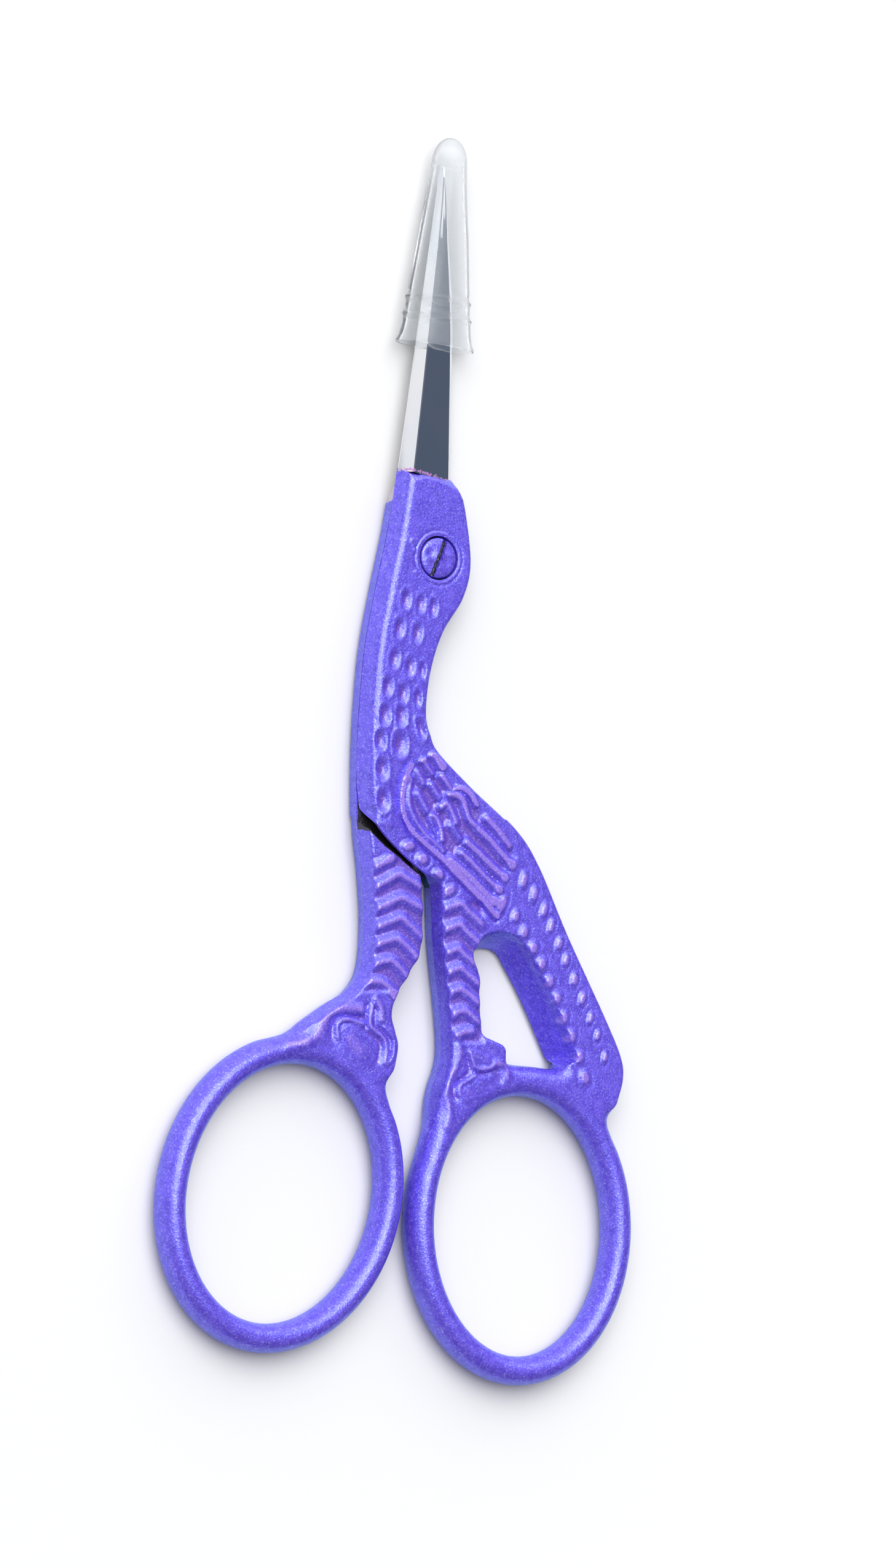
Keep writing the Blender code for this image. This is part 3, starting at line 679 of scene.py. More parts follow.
def front_heights(half, lap_side, relief_of):
    """z of the front half: from the seam up a leaning wall and a rounded edge to the face
    with its relief. The walls lean more beside the leg gap and are upright in the recess,
    a strip along the slot below the neck is undercut, and the coat ramps down to the blade."""
    left_edge = smooth(FRONT_NECK_EDGE, 0.5)

    def height_at(p, on_edge):
        x, y = p.T
        d = np.where(on_edge, 0.0, half.edge_distance(p))
        tube = half.roundness(p)
        gap_d = distance(p, half.coarse[2], True)
        right = smoothstep(0.6, 1.8, x - (4.9 + (-37.0 - y) * 0.42)) + smoothstep(-39.5, -37.2, y)
        near_gap = smoothstep(2.6, 1.2, gap_d) * np.clip(right, 0, 1) * smoothstep(-47.8, -46.9, y)
        slot_d = distance(p, np.array(FRONT_SLOT_EDGE, float))
        under = smoothstep(-23.7, -25.4, y) * smoothstep(0.1, -1.6, x)
        under *= smoothstep(*SLOT_REACH, slot_d)
        seam = half.lap - near_gap * (half.lap - 0.5) + SLOT_UNDERCUT * under
        lean = np.where(y > NECK_END, 0.42, 0.28) + near_gap * 1.15
        hole = smoothstep(RECESS_R + 0.6, RECESS_R + 0.3, np.hypot(x, y))
        lean = (lean * (1 - hole) + 0.03 * hole) * (1 - 0.8 * under)
        beside_left = smoothstep(2.2, 1.4, distance(p, left_edge))
        radius = (EDGE_ROUND + 0.45 * beside_left) * (1 - hole) + 0.10 * hole
        shape = wall_shape(d, WALL, lean, radius) * (1 - tube) + tube_shape(d) * tube
        fade = smoothstep(0.5, 1.1, d) if lap_side else smoothstep(0.05, 0.6, d)
        relief = np.minimum(relief_of(p), RELIEF_MAX) * fade
        if not lap_side:
            face = ring_level(TOP - SKIN, tube, 1) + relief
            z = seam + (face - seam) * shape
            end = -(y - COAT_END - COAT_SLANT * x)
            ramp = half.lap + blade_height(x) + 0.05 + np.maximum(end, 0) * 1.25
            return np.where(y > 3.5, soft_min(z, ramp, 0.10), z), relief, np.zeros_like(d)
        face = ring_level(SKIN, tube, -1) - relief
        step_d = distance(p, half.neck_area, True)
        layer = within(p, half.neck_area)
        wall = wall_shape(np.minimum(d, step_d), WALL, lean, radius) * (1 - tube) + shape * tube
        # Mask of uncoated metal that the coat paints near-black as shade.
        bare_and_shade = lap_bare_and_shade(p, layer, step_d, d)
        flat = half.lap + (seam - half.lap) * np.clip(1 - d / 1.4, 0, 1)
        flat = np.where(slot_d < SLOT_REACH[0], flat, seam)
        return np.where(layer, flat, seam + (face - seam) * wall), relief * ~layer, bare_and_shade
    return height_at


def lap_bare_and_shade(p, layer, step_d, d):
    """1 on the flat lapped face and up its step wall: uncoated metal, which the coat
    material paints near-black as shade between the halves and in the slot.
    """
    flat = layer * smoothstep(0.0, 0.25, d)
    wall = ~layer * smoothstep(0.62, 0.50, step_d) * (p[:, 1] < -17.0) * (p[:, 1] > -31.0)
    return np.maximum(flat, wall * smoothstep(1.2, 0.6, distance(p, STEP_LINES)))


def soft_min(a, b, k):
    """Smaller of two heights with a rounded meeting of size k, never above either."""
    h = np.maximum(k - np.abs(a - b), 0.0) / k
    return np.minimum(a, b) - h * h * k * 0.25


def back_heights(half, lap_side, relief_of):
    """z of the back half: from the lapped level to the underside, or on the lap side flat
    over the neck and up a step wall to the leg and ring, which reach the upper face."""
    def height_at(p, on_edge):
        x, y = p.T
        d = np.where(on_edge, 0.0, half.edge_distance(p))
        tube = half.roundness(p)
        lean = np.where(y > NECK_END, 0.15, 0.30)
        shape = wall_shape(d, WALL, lean, EDGE_ROUND) * (1 - tube) + tube_shape(d) * tube
        fade = smoothstep(0.05, 0.6, d) if lap_side else smoothstep(0.5, 1.1, d)
        relief = np.minimum(relief_of(p), RELIEF_MAX) * fade
        if not lap_side:
            face = ring_level(SKIN, tube, -1) - relief
            return half.lap + (face - half.lap) * shape, relief, np.zeros_like(d)
        face = ring_level(TOP - SKIN, tube, 1) + relief
        step_d = distance(p, half.neck_area, True)
        layer = within(p, half.neck_area)
        wall = wall_shape(np.minimum(d, step_d), WALL, lean, EDGE_ROUND) * (1 - tube) + shape * tube
        z = np.where(layer, half.lap, half.lap + (face - half.lap) * wall)
        # Mask of uncoated metal that the coat paints near-black as shade.
        return z, relief * ~layer, lap_bare_and_shade(p, layer, step_d, d)
    return height_at


# --------------------------------------------------------------------------
# Lofted pieces
# --------------------------------------------------------------------------

def grid_faces(rows, columns):
    """Quads of a rows by columns grid of points, closed along the columns."""
    i = np.arange(rows - 1)[:, None]
    j = np.arange(columns)[None]
    k = (j + 1) % columns
    return np.stack([i * columns + j, i * columns + k, (i + 1) * columns + k,
                     (i + 1) * columns + j], -1).reshape(-1, 4)


def blade_grid(rows, face, up, slant, overlap, heel):
    """Section carried along the blade: flat underside, outer facet, bevelled ridge, wide
    face and a fine ground edge. Stations follow a smooth curve through the rows."""
    rows = np.array(rows, float)
    rows = np.vstack([rows[:1] - [overlap, 0, 0, 0, 0], rows])
    fine = smooth(rows, 0.35)
    y, spine, crest, edge, height = fine.T
    side = np.sign(edge[0] - spine[0])
    tip = smoothstep(y[-1] - 0.9, y[-1], y)
    middle = 0.5 * (spine + edge)
    spine, crest, edge = (v + (middle - v) * tip * 0.75 for v in (spine, crest, edge))
    height = height * (1 - 0.35 * tip)
    ground = np.minimum(0.42, 0.25 * np.abs(edge - crest))
    ridge_w = 0.07
    xs = [spine, spine, spine + (crest - spine) * 0.5,
          crest - side * ridge_w, crest + side * ridge_w,
          crest + (edge - crest) * 0.3, crest + (edge - crest) * 0.6, edge - side * ground,
          edge - side * 0.02, edge, spine + (edge - spine) * 0.5]
    root = 0.24 + heel * smoothstep(2.6, 0.2, y - y[0])
    slope = (height - root) / np.maximum(np.abs(edge - crest), 0.2)
    sag = 0.05
    flat = 0.0 * height
    zs = [flat, 0.12 * height, 0.56 * height, height - 0.03, height - 0.035,
          height - 0.3 * (height - root) - sag, height - 0.6 * (height - root) - sag,
          root + slope * ground * 0.9, np.maximum(0.05, root - 0.35), flat, flat]
    x = np.stack(xs, 1)
    z = face + up * np.stack(zs, 1)
    fade = np.clip(1 - (y - y[0]) / 6.0, 0, 1)[:, None]
    yy = y[:, None] + slant * x * fade
    return np.stack([x, yy, z], -1)


def capped(grid):
    """A wrapped grid closed at both ends by fans of its end rings."""
    rows, columns = grid.shape[:2]
    verts = np.vstack([grid.reshape(-1, 3), grid[0].mean(0), grid[-1].mean(0)])
    faces = grid_faces(rows, columns).tolist()
    n = rows * columns
    j = np.arange(columns)
    k = (j + 1) % columns
    faces += np.column_stack([k, j, np.full(columns, n)]).tolist()
    last = (rows - 1) * columns
    faces += np.column_stack([last + j, last + k, np.full(columns, n + 1)]).tolist()
    return verts, faces


def guard_frame(along, u, w):
    """Place across and along sizes on the guard's leaning centre line."""
    t = math.radians(GUARD_LEAN)
    bx, by, bz = GUARD_BASE
    return np.stack([bx + u * math.cos(t) + along * math.sin(t),
                     by - u * math.sin(t) + along * math.cos(t), bz + w + 0 * along], -1)


def guard_grid():
    """Outer skin from lip to dome, then the inner skin back: ovals whose half sizes follow
    the length, with two raised ribs near the mouth and a thinned lip. The number of outer
    rows goes with the grid."""
    out_s = np.r_[np.linspace(0, 0.30, 70), np.linspace(0.31, 0.86, 26), np.linspace(0.87, 1.0, 30)]
    in_s = np.r_[np.linspace(0.955, 0.90, 12), np.linspace(0.88, 0.30, 26),
                 np.linspace(0.29, 0.0, 40)]
    phi = np.linspace(0, 2 * math.pi, 72, endpoint=False)

    def sizes(s):
        dome = s > GUARD_DOME_FROM
        q = np.sqrt(np.clip(1 - ((s - GUARD_DOME_FROM) / 0.12) ** 2, 0, 1))
        return [np.where(dome, top * q, np.interp(s, GUARD_STOPS, stops))
                for top, stops in zip(GUARD_DOME, (GUARD_WIDE, GUARD_TALL))]

    a, b = sizes(out_s)
    rib = sum(np.exp(-((out_s - c) / 0.0075) ** 2) for c in GUARD_RIB_SHARES)
    dip = sum(np.exp(-((out_s - c) / 0.012) ** 2) for c in GUARD_DIP_SHARES)
    a = a + 0.17 * rib - 0.08 * dip
    b = np.minimum(b + 0.10 * rib - 0.05 * dip, 1.985)
    lip = smoothstep(0.012, 0.0, out_s)
    a, b = a - 0.12 * lip, b - 0.12 * lip
    ia, ib = sizes(in_s)
    close = np.sqrt(np.clip(1 - ((in_s - 0.90) / 0.055).clip(0, 1) ** 2, 0, 1))
    ia, ib = (ia - GUARD_WALL) * close, (ib - GUARD_WALL) * close
    s = np.r_[out_s, in_s] * GUARD_LENGTH
    a, b = np.r_[a, ia], np.r_[b, ib]
    wobble = 1 + 0.006 * np.sin(3 * phi + 0.7)[None] * np.sin(s * 0.8)[:, None]
    u = a[:, None] * np.cos(phi) * wobble
    w = b[:, None] * np.sin(phi)
    return guard_frame(s[:, None] + 0 * u, u, w), len(out_s)


def guard_mesh():
    """Both skins as quads, joined at the mouth and closed at the dome by two fans."""
    grid, split = guard_grid()
    rows, columns = grid.shape[:2]
    quads = grid_faces(rows, columns)
    between_skins = (quads[:, 0] // columns) == split - 1
    j = np.arange(columns)
    k = (j + 1) % columns
    last, outer, inner = (rows - 1) * columns, (split - 1) * columns, split * columns
    mouth = np.column_stack([last + j, last + k, k, j])
    verts = grid.reshape(-1, 3)
    verts = np.vstack([verts, grid[split - 1].mean(0), grid[split].mean(0)])
    fans = [np.column_stack([outer + j, outer + k, np.full(columns, rows * columns)]),
            np.column_stack([inner + k, inner + j, np.full(columns, rows * columns + 1)])]
    return verts, np.vstack([quads[~between_skins], mouth]).tolist() + np.vstack(fans).tolist()


def screw_grid():
    """Head as a function of radius and angle: a low dome with the driver slot cut by the
    distance from the slot's middle line. The shank carries a shallow helical thread."""
    def turned(rings):
        return [np.stack([r * np.cos(phi), r * np.sin(phi), np.full_like(phi, level)], -1)
                for r, level in rings]

    phi = np.linspace(0, 2 * math.pi, 144, endpoint=False)
    t = math.radians(90 - DRIVE_TURN)
    r = np.r_[0.02, np.linspace(0.08, HEAD_R - 0.14, 34), HEAD_R - np.array([0.09, 0.04, 0.01])]
    top = HEAD_RIM + (HEAD_TOP - HEAD_RIM) * np.sqrt(np.clip(1 - (r / HEAD_R) ** 2.2, 0, 1))
    x, y = r[:, None] * np.cos(phi), r[:, None] * np.sin(phi)
    across = np.abs(-x * math.sin(t) + y * math.cos(t))
    ragged = 0.05 * np.sin(7.0 * x + 3.0 * y) * np.sin(5.0 * y - 2.0 * x)
    cut = smoothstep(DRIVE_WIDTH / 2 + 0.06, DRIVE_WIDTH / 2 - 0.03, across + ragged)
    lumps = sum(h * np.exp(-((x - a) ** 2 + (y - b) ** 2) / w ** 2) for a, b, w, h in SCREW_DENTS)
    skin = top[:, None] + lumps * (1 - (r[:, None] / HEAD_R) ** 4)
    z = skin * (1 - cut) + DRIVE_FLOOR * cut
    head = np.stack([x, y, np.minimum(z, HEAD_TOP)], -1)
    rim = turned([(HEAD_R, HEAD_RIM - 0.06), (HEAD_R, HEAD_LOW + 0.08),
                  (HEAD_R - 0.08, HEAD_LOW)])
    zs = np.linspace(HEAD_LOW, 0.10, 60)
    wave = 0.5 + 0.5 * np.cos(2 * math.pi * zs[:, None] / 0.30 - phi[None])
    shank_r = SHANK_R - np.where((zs < THREAD_TOP)[:, None], 0.10 * wave, 0.0)
    shank = np.stack([shank_r * np.cos(phi), shank_r * np.sin(phi),
                      np.broadcast_to(zs[:, None], shank_r.shape)], -1)
    tail = turned([(SHANK_R - 0.02, 0.05), (SHANK_R - 0.08, 0.0), (0.3, 0.0)])
    return np.concatenate([head, rim, shank, tail])


# --------------------------------------------------------------------------
# Mesh building
# --------------------------------------------------------------------------

def add_piece(name, verts, faces, material, body, nodes, marks=None, sharp=38.0):
    """Store a mesh given in mm, shade it, and say which body it rides on."""
    mesh = bpy.data.meshes.new(name)
    faces = faces.tolist() if isinstance(faces, np.ndarray) else faces
    mesh.from_pydata((np.asarray(verts) * MM).tolist(), [], faces)
    if marks is not None:
        # The second mark is uncoated metal and places painted near-black as shade.
        for label, values in zip(("relief", "bare_and_shade"), marks.T):
            layer = mesh.attributes.new(label, 'FLOAT', 'POINT')
            layer.data.foreach_set("value", np.ascontiguousarray(values, np.float32))
    mesh.validate()
    mesh.shade_smooth()
    mesh.set_sharp_from_angle(angle=math.radians(sharp))
    mesh.materials.append(material)
    piece = bpy.data.objects.new(name, mesh)
    bpy.context.scene.collection.objects.link(piece)
    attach(piece, body)
    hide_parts(*nodes)
    return piece


def outward(verts, faces):
    """Faces turned so that the volume they enclose is positive."""
    total = 0.0
    for corner in (faces if isinstance(faces, np.ndarray) else [np.array(f) for f in faces]):
        total += np.dot(verts[corner[0]], np.cross(verts[corner[1]], verts[corner[2]]))
        if len(corner) == 4:
            total += np.dot(verts[corner[0]], np.cross(verts[corner[2]], verts[corner[3]]))
    return faces if total > 0 else [list(f)[::-1] for f in faces]


# --------------------------------------------------------------------------
# Materials
# --------------------------------------------------------------------------

def new_group(name, inputs, outputs):
    """A node group with its named sockets, and its input and output nodes."""
    group = bpy.data.node_groups.new(name, 'ShaderNodeTree')
    for kind, label, value in inputs:
        socket = group.interface.new_socket(label, in_out='INPUT', socket_type=kind)
        socket.default_value = value
    for kind, label in outputs:
        group.interface.new_socket(label, in_out='OUTPUT', socket_type=kind)
    return group, group.nodes.new('NodeGroupInput'), group.nodes.new('NodeGroupOutput')


def node(tree, kind, **settings):
    """A new node with its settings."""
    made = tree.nodes.new(kind)
    for key, value in settings.items():
        setattr(made, key, value)
    return made


def math_node(tree, operation, a, b=None, c=None, clamp=False):
    """Result of a Math node on sockets or numbers."""
    made = node(tree, 'ShaderNodeMath', operation=operation, use_clamp=clamp)
    for socket, value in zip(made.inputs, (a, b, c)):
        if value is None:
            continue
        if isinstance(value, (int, float)):
            socket.default_value = value
        else:
            tree.links.new(value, socket)
    return made.outputs[0]


def ranged(tree, value, low, high, to_low=0.0, to_high=1.0):
    """A value moved smoothly from one range to another."""
    made = node(tree, 'ShaderNodeMapRange', interpolation_type='SMOOTHSTEP')
    tree.links.new(value, made.inputs[0])
    for socket, number in zip(made.inputs[1:5], (low, high, to_low, to_high)):
        if isinstance(number, (int, float)):
            socket.default_value = number
        else:
            tree.links.new(number, socket)
    return made.outputs[0]


def mixed(tree, factor, a, b):
    """Colour a turning into colour b by the factor."""
    made = node(tree, 'ShaderNodeMix', data_type='RGBA')
    for socket, value in zip((made.inputs[0], made.inputs[6], made.inputs[7]), (factor, a, b)):
        if isinstance(value, (int, float)):
            socket.default_value = value
        elif isinstance(value, bpy.types.NodeSocket):
            tree.links.new(value, socket)
        else:
            socket.default_value = (*value[:3], 1.0)
    return made.outputs[2]


def noise(tree, vector, scale, detail=2.0, roughness=0.5):
    """Value of a Noise texture; scale counts per metre."""
    made = node(tree, 'ShaderNodeTexNoise')
    made.inputs['Scale'].default_value = scale
    made.inputs['Detail'].default_value = detail
    made.inputs['Roughness'].default_value = roughness
    tree.links.new(vector, made.inputs['Vector'])
    return made.outputs['Fac']


def grain_group():
    """Orange-peel height and glitter mask of a sprayed coat, from object coordinates."""
    group, enter, leave = new_group(
        "sprayed_grain",
        [('NodeSocketFloat', "Grain size mm", 0.2), ('NodeSocketFloat', "Glitter", 0.5)],
        [('NodeSocketFloat', "Height"), ('NodeSocketFloat', "Glitter mask"),
         ('NodeSocketFloat', "Cloud")])
    where = group.nodes.new('ShaderNodeTexCoord').outputs['Object']
    scale = math_node(group, 'DIVIDE', 1000.0, enter.outputs[0])
    peel = node(group, 'ShaderNodeTexNoise')
    peel.inputs['Detail'].default_value = 2.0
    group.links.new(where, peel.inputs['Vector'])
    group.links.new(scale, peel.inputs['Scale'])
    cells = node(group, 'ShaderNodeTexVoronoi')
    group.links.new(where, cells.inputs['Vector'])
    group.links.new(math_node(group, 'MULTIPLY', scale, 2.1), cells.inputs['Scale'])
    split = node(group, 'ShaderNodeSeparateColor')
    group.links.new(cells.outputs['Color'], split.inputs[0])
    flake = math_node(group, 'MULTIPLY', ranged(group, split.outputs[0], 0.30, 1.0),
                      ranged(group, peel.outputs['Fac'], 0.42, 0.66))
    mask = math_node(group, 'MULTIPLY', flake, enter.outputs[1], clamp=True)
    group.links.new(peel.outputs['Fac'], leave.inputs[0])
    group.links.new(mask, leave.inputs[1])
    group.links.new(noise(group, where, 1400.0, 4.0, 0.65), leave.inputs[2])
    return group


def sheen_shade_group():
    """Masks for the painted sheen on raised relief, the painted shade in sunk relief, and
    the uncoated metal that is painted near-black as shade, from the values on the mesh.
    """
    group, enter, leave = new_group(
        "relief_sheen_shade", [('NodeSocketFloat', "Amount", 1.0)],
        [('NodeSocketFloat', "Raised"), ('NodeSocketFloat', "Sunk"), ('NodeSocketFloat', "Bare")])
    stored = node(group, 'ShaderNodeAttribute', attribute_name="relief")
    where = group.nodes.new('ShaderNodeTexCoord').outputs['Object']
    rough = noise(group, where, 1500.0, 3.0)
    broken = math_node(group, 'MULTIPLY_ADD', math_node(group, 'SUBTRACT', rough, 0.5), 0.10,
                       stored.outputs['Fac'])
    # Mask for the painted sheen on the raised relief.
    raised = ranged(group, broken, 0.10, 0.19)
    # Mask for the painted shade in the sunk relief.
    sunk = ranged(group, math_node(group, 'MULTIPLY', broken, -1.0), 0.05, 0.26)
    # Mask of uncoated metal painted near-black as shade between the halves and in the screw's slot.
    bare_shade_stored = node(group, 'ShaderNodeAttribute', attribute_name="bare_and_shade")
    ragged_bare_shade = math_node(group, 'MULTIPLY_ADD', math_node(group, 'SUBTRACT', rough, 0.5), 0.8,
                     bare_shade_stored.outputs['Fac'])
    group.links.new(ranged(group, ragged_bare_shade, 0.35, 0.65), leave.inputs[2])
    group.links.new(math_node(group, 'MULTIPLY', raised, enter.outputs[0], clamp=True),
                    leave.inputs[0])
    group.links.new(sunk, leave.inputs[1])
    return group


def scratch_group():
    """Fine grinding lines along X, across the blades, as height, and a slow cloud for the
    polish: noise that the mapping stretches 25 times along X."""
    group, enter, leave = new_group(
        "ground_lines", [('NodeSocketFloat', "Line width mm", 0.05)],
        [('NodeSocketFloat', "Height"), ('NodeSocketFloat', "Cloud")])
    where = group.nodes.new('ShaderNodeTexCoord').outputs['Object']
    stretch = node(group, 'ShaderNodeMapping')
    stretch.inputs['Scale'].default_value = (0.04, 1.0, 1.0)
    stretch.inputs['Rotation'].default_value = (0.0, 0.0, math.radians(4.0))
    group.links.new(where, stretch.inputs['Vector'])
    scale = math_node(group, 'DIVIDE', 1000.0, enter.outputs[0])
    lines = node(group, 'ShaderNodeTexNoise')
    lines.inputs['Detail'].default_value = 2.0
    group.links.new(stretch.outputs[0], lines.inputs['Vector'])
    group.links.new(scale, lines.inputs['Scale'])
    group.links.new(lines.outputs['Fac'], leave.inputs[0])
    group.links.new(noise(group, where, 160.0, 2.0), leave.inputs[1])
    return group


def started(name):
    """A new material, its nodes and its Principled BSDF."""
    mat = bpy.data.materials.new(name)
    mat.use_nodes = True
    return mat, mat.node_tree, mat.node_tree.nodes["Principled BSDF"]


def placed(tree, group, **values):
    """A group node with its own values; _ stands for a space in a label."""
    made = node(tree, 'ShaderNodeGroup')
    made.node_tree = group
    for label, value in values.items():
        made.inputs[label.replace("_", " ")].default_value = value
    return made


def bump(tree, height, metres, target, strength=1.0):
    """Height in metres turned into a normal."""
    made = node(tree, 'ShaderNodeBump')
    made.inputs['Strength'].default_value = strength
    made.inputs['Distance'].default_value = metres
    tree.links.new(height, made.inputs['Height'])
    tree.links.new(made.outputs[0], target)


def coat_material(name, groups, colours, screw=False):
    """Pearl coat: violet ground with a slow cloud, fine pale flakes, a lilac painted sheen
    where the relief is high, painted shade (duller, less blue) where it is deep, pink flecks
    along the coat's end (not on the screw), and near-black on the lapped faces and their
    step walls: uncoated metal, darkened as painted shade between the halves, with painted
    shade in the screw's slot too. Metallic and the blue tint give the sheen."""
    mat, tree, shader = started(name)
    grain = placed(tree, groups["grain"], Grain_size_mm=0.20, Glitter=0.42)
    sheen_shade = placed(tree, groups["sheen_shade"], Amount=0.9)
    cloud = ranged(tree, grain.outputs['Cloud'], 0.35, 0.65)
    ground = mixed(tree, cloud, colours.coat_deep, colours.coat_light)
    # Painted shade: the relief's hollows turn duller and less blue.
    sunk = mixed(tree, math_node(tree, 'MULTIPLY', sheen_shade.outputs['Sunk'], 0.80), ground,
                 colours.coat_hollow_shade)
    # Painted sheen: the raised relief's tops turn a lighter lilac.
    crest_sheen = mixed(tree, math_node(tree, 'MULTIPLY', sheen_shade.outputs['Raised'], 0.50), sunk,
                 colours.coat_crest_sheen)
    fleck = math_node(tree, 'MULTIPLY', coat_end_flecks(tree), 0.0 if screw else 0.8)
    ended = mixed(tree, fleck, crest_sheen, colours.coat_end)
    speck = mixed(tree, grain.outputs['Glitter mask'], ended, colours.coat_glitter)
    # Near-black on uncoated metal between the halves and in the screw's slot: painted shade.
    bare_and_shade = sheen_shade.outputs['Bare']
    tree.links.new(mixed(tree, bare_and_shade, speck, colours.bare_and_shade), shader.inputs['Base Color'])
    tree.links.new(ranged(tree, bare_and_shade, 0.0, 1.0, 0.32, 0.85), shader.inputs['Metallic'])
    rough = math_node(tree, 'MULTIPLY_ADD', grain.outputs['Glitter mask'], -0.12, 0.30)
    tree.links.new(rough, shader.inputs['Roughness'])
    tree.links.new(ranged(tree, bare_and_shade, 0.0, 1.0, 0.12, 0.0), shader.inputs['Coat Weight'])
    shader.inputs['Coat Roughness'].default_value = 0.18
    shader.inputs['IOR'].default_value = 2.1
    shader.inputs['Specular Tint'].default_value = (0.26, 0.64, 1.0, 1.0)
    bump(tree, grain.outputs['Height'], 0.06 * MM, shader.inputs['Normal'], 0.7)
    return mat


def coat_end_flecks(tree):
    """Mask of ragged flecks along the line where the front half's coat stops."""
    where = node(tree, 'ShaderNodeTexCoord').outputs['Object']
    split = node(tree, 'ShaderNodeSeparateXYZ')
    tree.links.new(where, split.inputs[0])
    across = math_node(tree, 'MULTIPLY_ADD', split.outputs[0], -COAT_SLANT, split.outputs[1])
    away = math_node(tree, 'ABSOLUTE', math_node(tree, 'SUBTRACT', across, COAT_LINE * MM))
    rough = math_node(tree, 'SUBTRACT', noise(tree, where, 3400.0, 2.0), 0.5)
    ragged = math_node(tree, 'MULTIPLY_ADD', rough, 0.9 * MM, away)
    return ranged(tree, ragged, 0.12 * MM, 0.04 * MM)


def steel_material(name, groups, colours):
    """Polished steel with fine grinding lines, flecks along the coat's end, and a dull
    stray film on what lies behind it."""
    mat, tree, shader = started(name)
    lines = placed(tree, groups["scratch"], Line_width_mm=0.06)
    tint = mixed(tree, ranged(tree, lines.outputs['Cloud'], 0.3, 0.7), colours.steel,
                 colours.steel_cool)
    fleck = coat_end_flecks(tree)
    along = node(tree, 'ShaderNodeSeparateXYZ')
    tree.links.new(node(tree, 'ShaderNodeTexCoord').outputs['Object'], along.inputs[0])
    film_range = ranged(tree, along.outputs[1], FILM_END * MM, FILM_START * MM)
    stray = math_node(tree, 'MULTIPLY', film_range, 0.75)
    film = mixed(tree, stray, tint, colours.stray_coat)
    tree.links.new(mixed(tree, fleck, film, colours.coat_end), shader.inputs['Base Color'])
    soiled = math_node(tree, 'MAXIMUM', fleck, stray)
    tree.links.new(ranged(tree, soiled, 0.0, 1.0, 1.0, 0.3), shader.inputs['Metallic'])
    rough = math_node(tree, 'MULTIPLY_ADD', lines.outputs['Height'], 0.08,
                      ranged(tree, stray, 0.0, 1.0, 0.05, 0.38))
    tree.links.new(rough, shader.inputs['Roughness'])
    bump(tree, lines.outputs['Height'], 0.003 * MM, shader.inputs['Normal'], 0.5)
    return mat


def vinyl_material(name, colours):
    """Clear soft vinyl: plain transmission with a faintly uneven skin, cloudy on the ribs
    and in the closed end."""
    mat, tree, shader = started(name)
    shader.inputs['Base Color'].default_value = (*colours.vinyl, 1.0)
    shader.inputs['Transmission Weight'].default_value = 0.93
    shader.inputs['IOR'].default_value = 1.18
    where = node(tree, 'ShaderNodeTexCoord').outputs['Object']
    skin = noise(tree, where, 500.0, 2.0)
    along = node(tree, 'ShaderNodeSeparateXYZ')
    tree.links.new(where, along.inputs[0])
    cloudy = ranged(tree, along.outputs[1], GUARD_SOLID_FROM * MM,
                    (GUARD_SOLID_FROM + 2.2) * MM)
    for rib in GUARD_RIBS:
        away = math_node(tree, 'ABSOLUTE', math_node(tree, 'SUBTRACT', along.outputs[1], rib * MM))
        cloudy = math_node(tree, 'MAXIMUM', cloudy, ranged(tree, away, 0.48 * MM, 0.20 * MM))
    rough = math_node(tree, 'MULTIPLY_ADD', cloudy, 0.28, ranged(tree, skin, 0.3, 0.7, 0.03, 0.09))
    tree.links.new(rough, shader.inputs['Roughness'])
    bump(tree, noise(tree, where, 260.0, 2.0), 0.03 * MM, shader.inputs['Normal'], 0.5)
    return mat


# --------------------------------------------------------------------------
# Settings
# --------------------------------------------------------------------------

class ScissorsSizes(bpy.types.PropertyGroup):
    """Sizes a user would change, in metres and degrees"""
    lattice_step: FloatProperty(
        name="Relief step", description="Spacing of the points that carry the relief",
        default=0.00016, min=0.00008, max=0.001, unit='LENGTH')
    camera_distance: FloatProperty(
        name="Camera distance", description="From the camera to the scissors",
        default=0.6, min=0.2, max=3.0, unit='LENGTH')
    camera_tilt: FloatProperty(
        name="Camera tilt", description="View off the vertical, towards the back half's side",
        default=math.radians(31.0), subtype='ANGLE')
    camera_dip: FloatProperty(
        name="Camera dip", description="View off the vertical, towards the finger rings",
        default=math.radians(3.0), subtype='ANGLE')
    frame_height: FloatProperty(
        name="Frame height", description="Height that the picture covers at the scissors",
        default=FRAME_ROWS * LENGTH / LENGTH_ROWS, unit='LENGTH')


def colour(name, description, default):
    """Colour setting with its default."""
    return FloatVectorProperty(name=name, description=description, default=default,
                               subtype='COLOR', min=0, max=1)


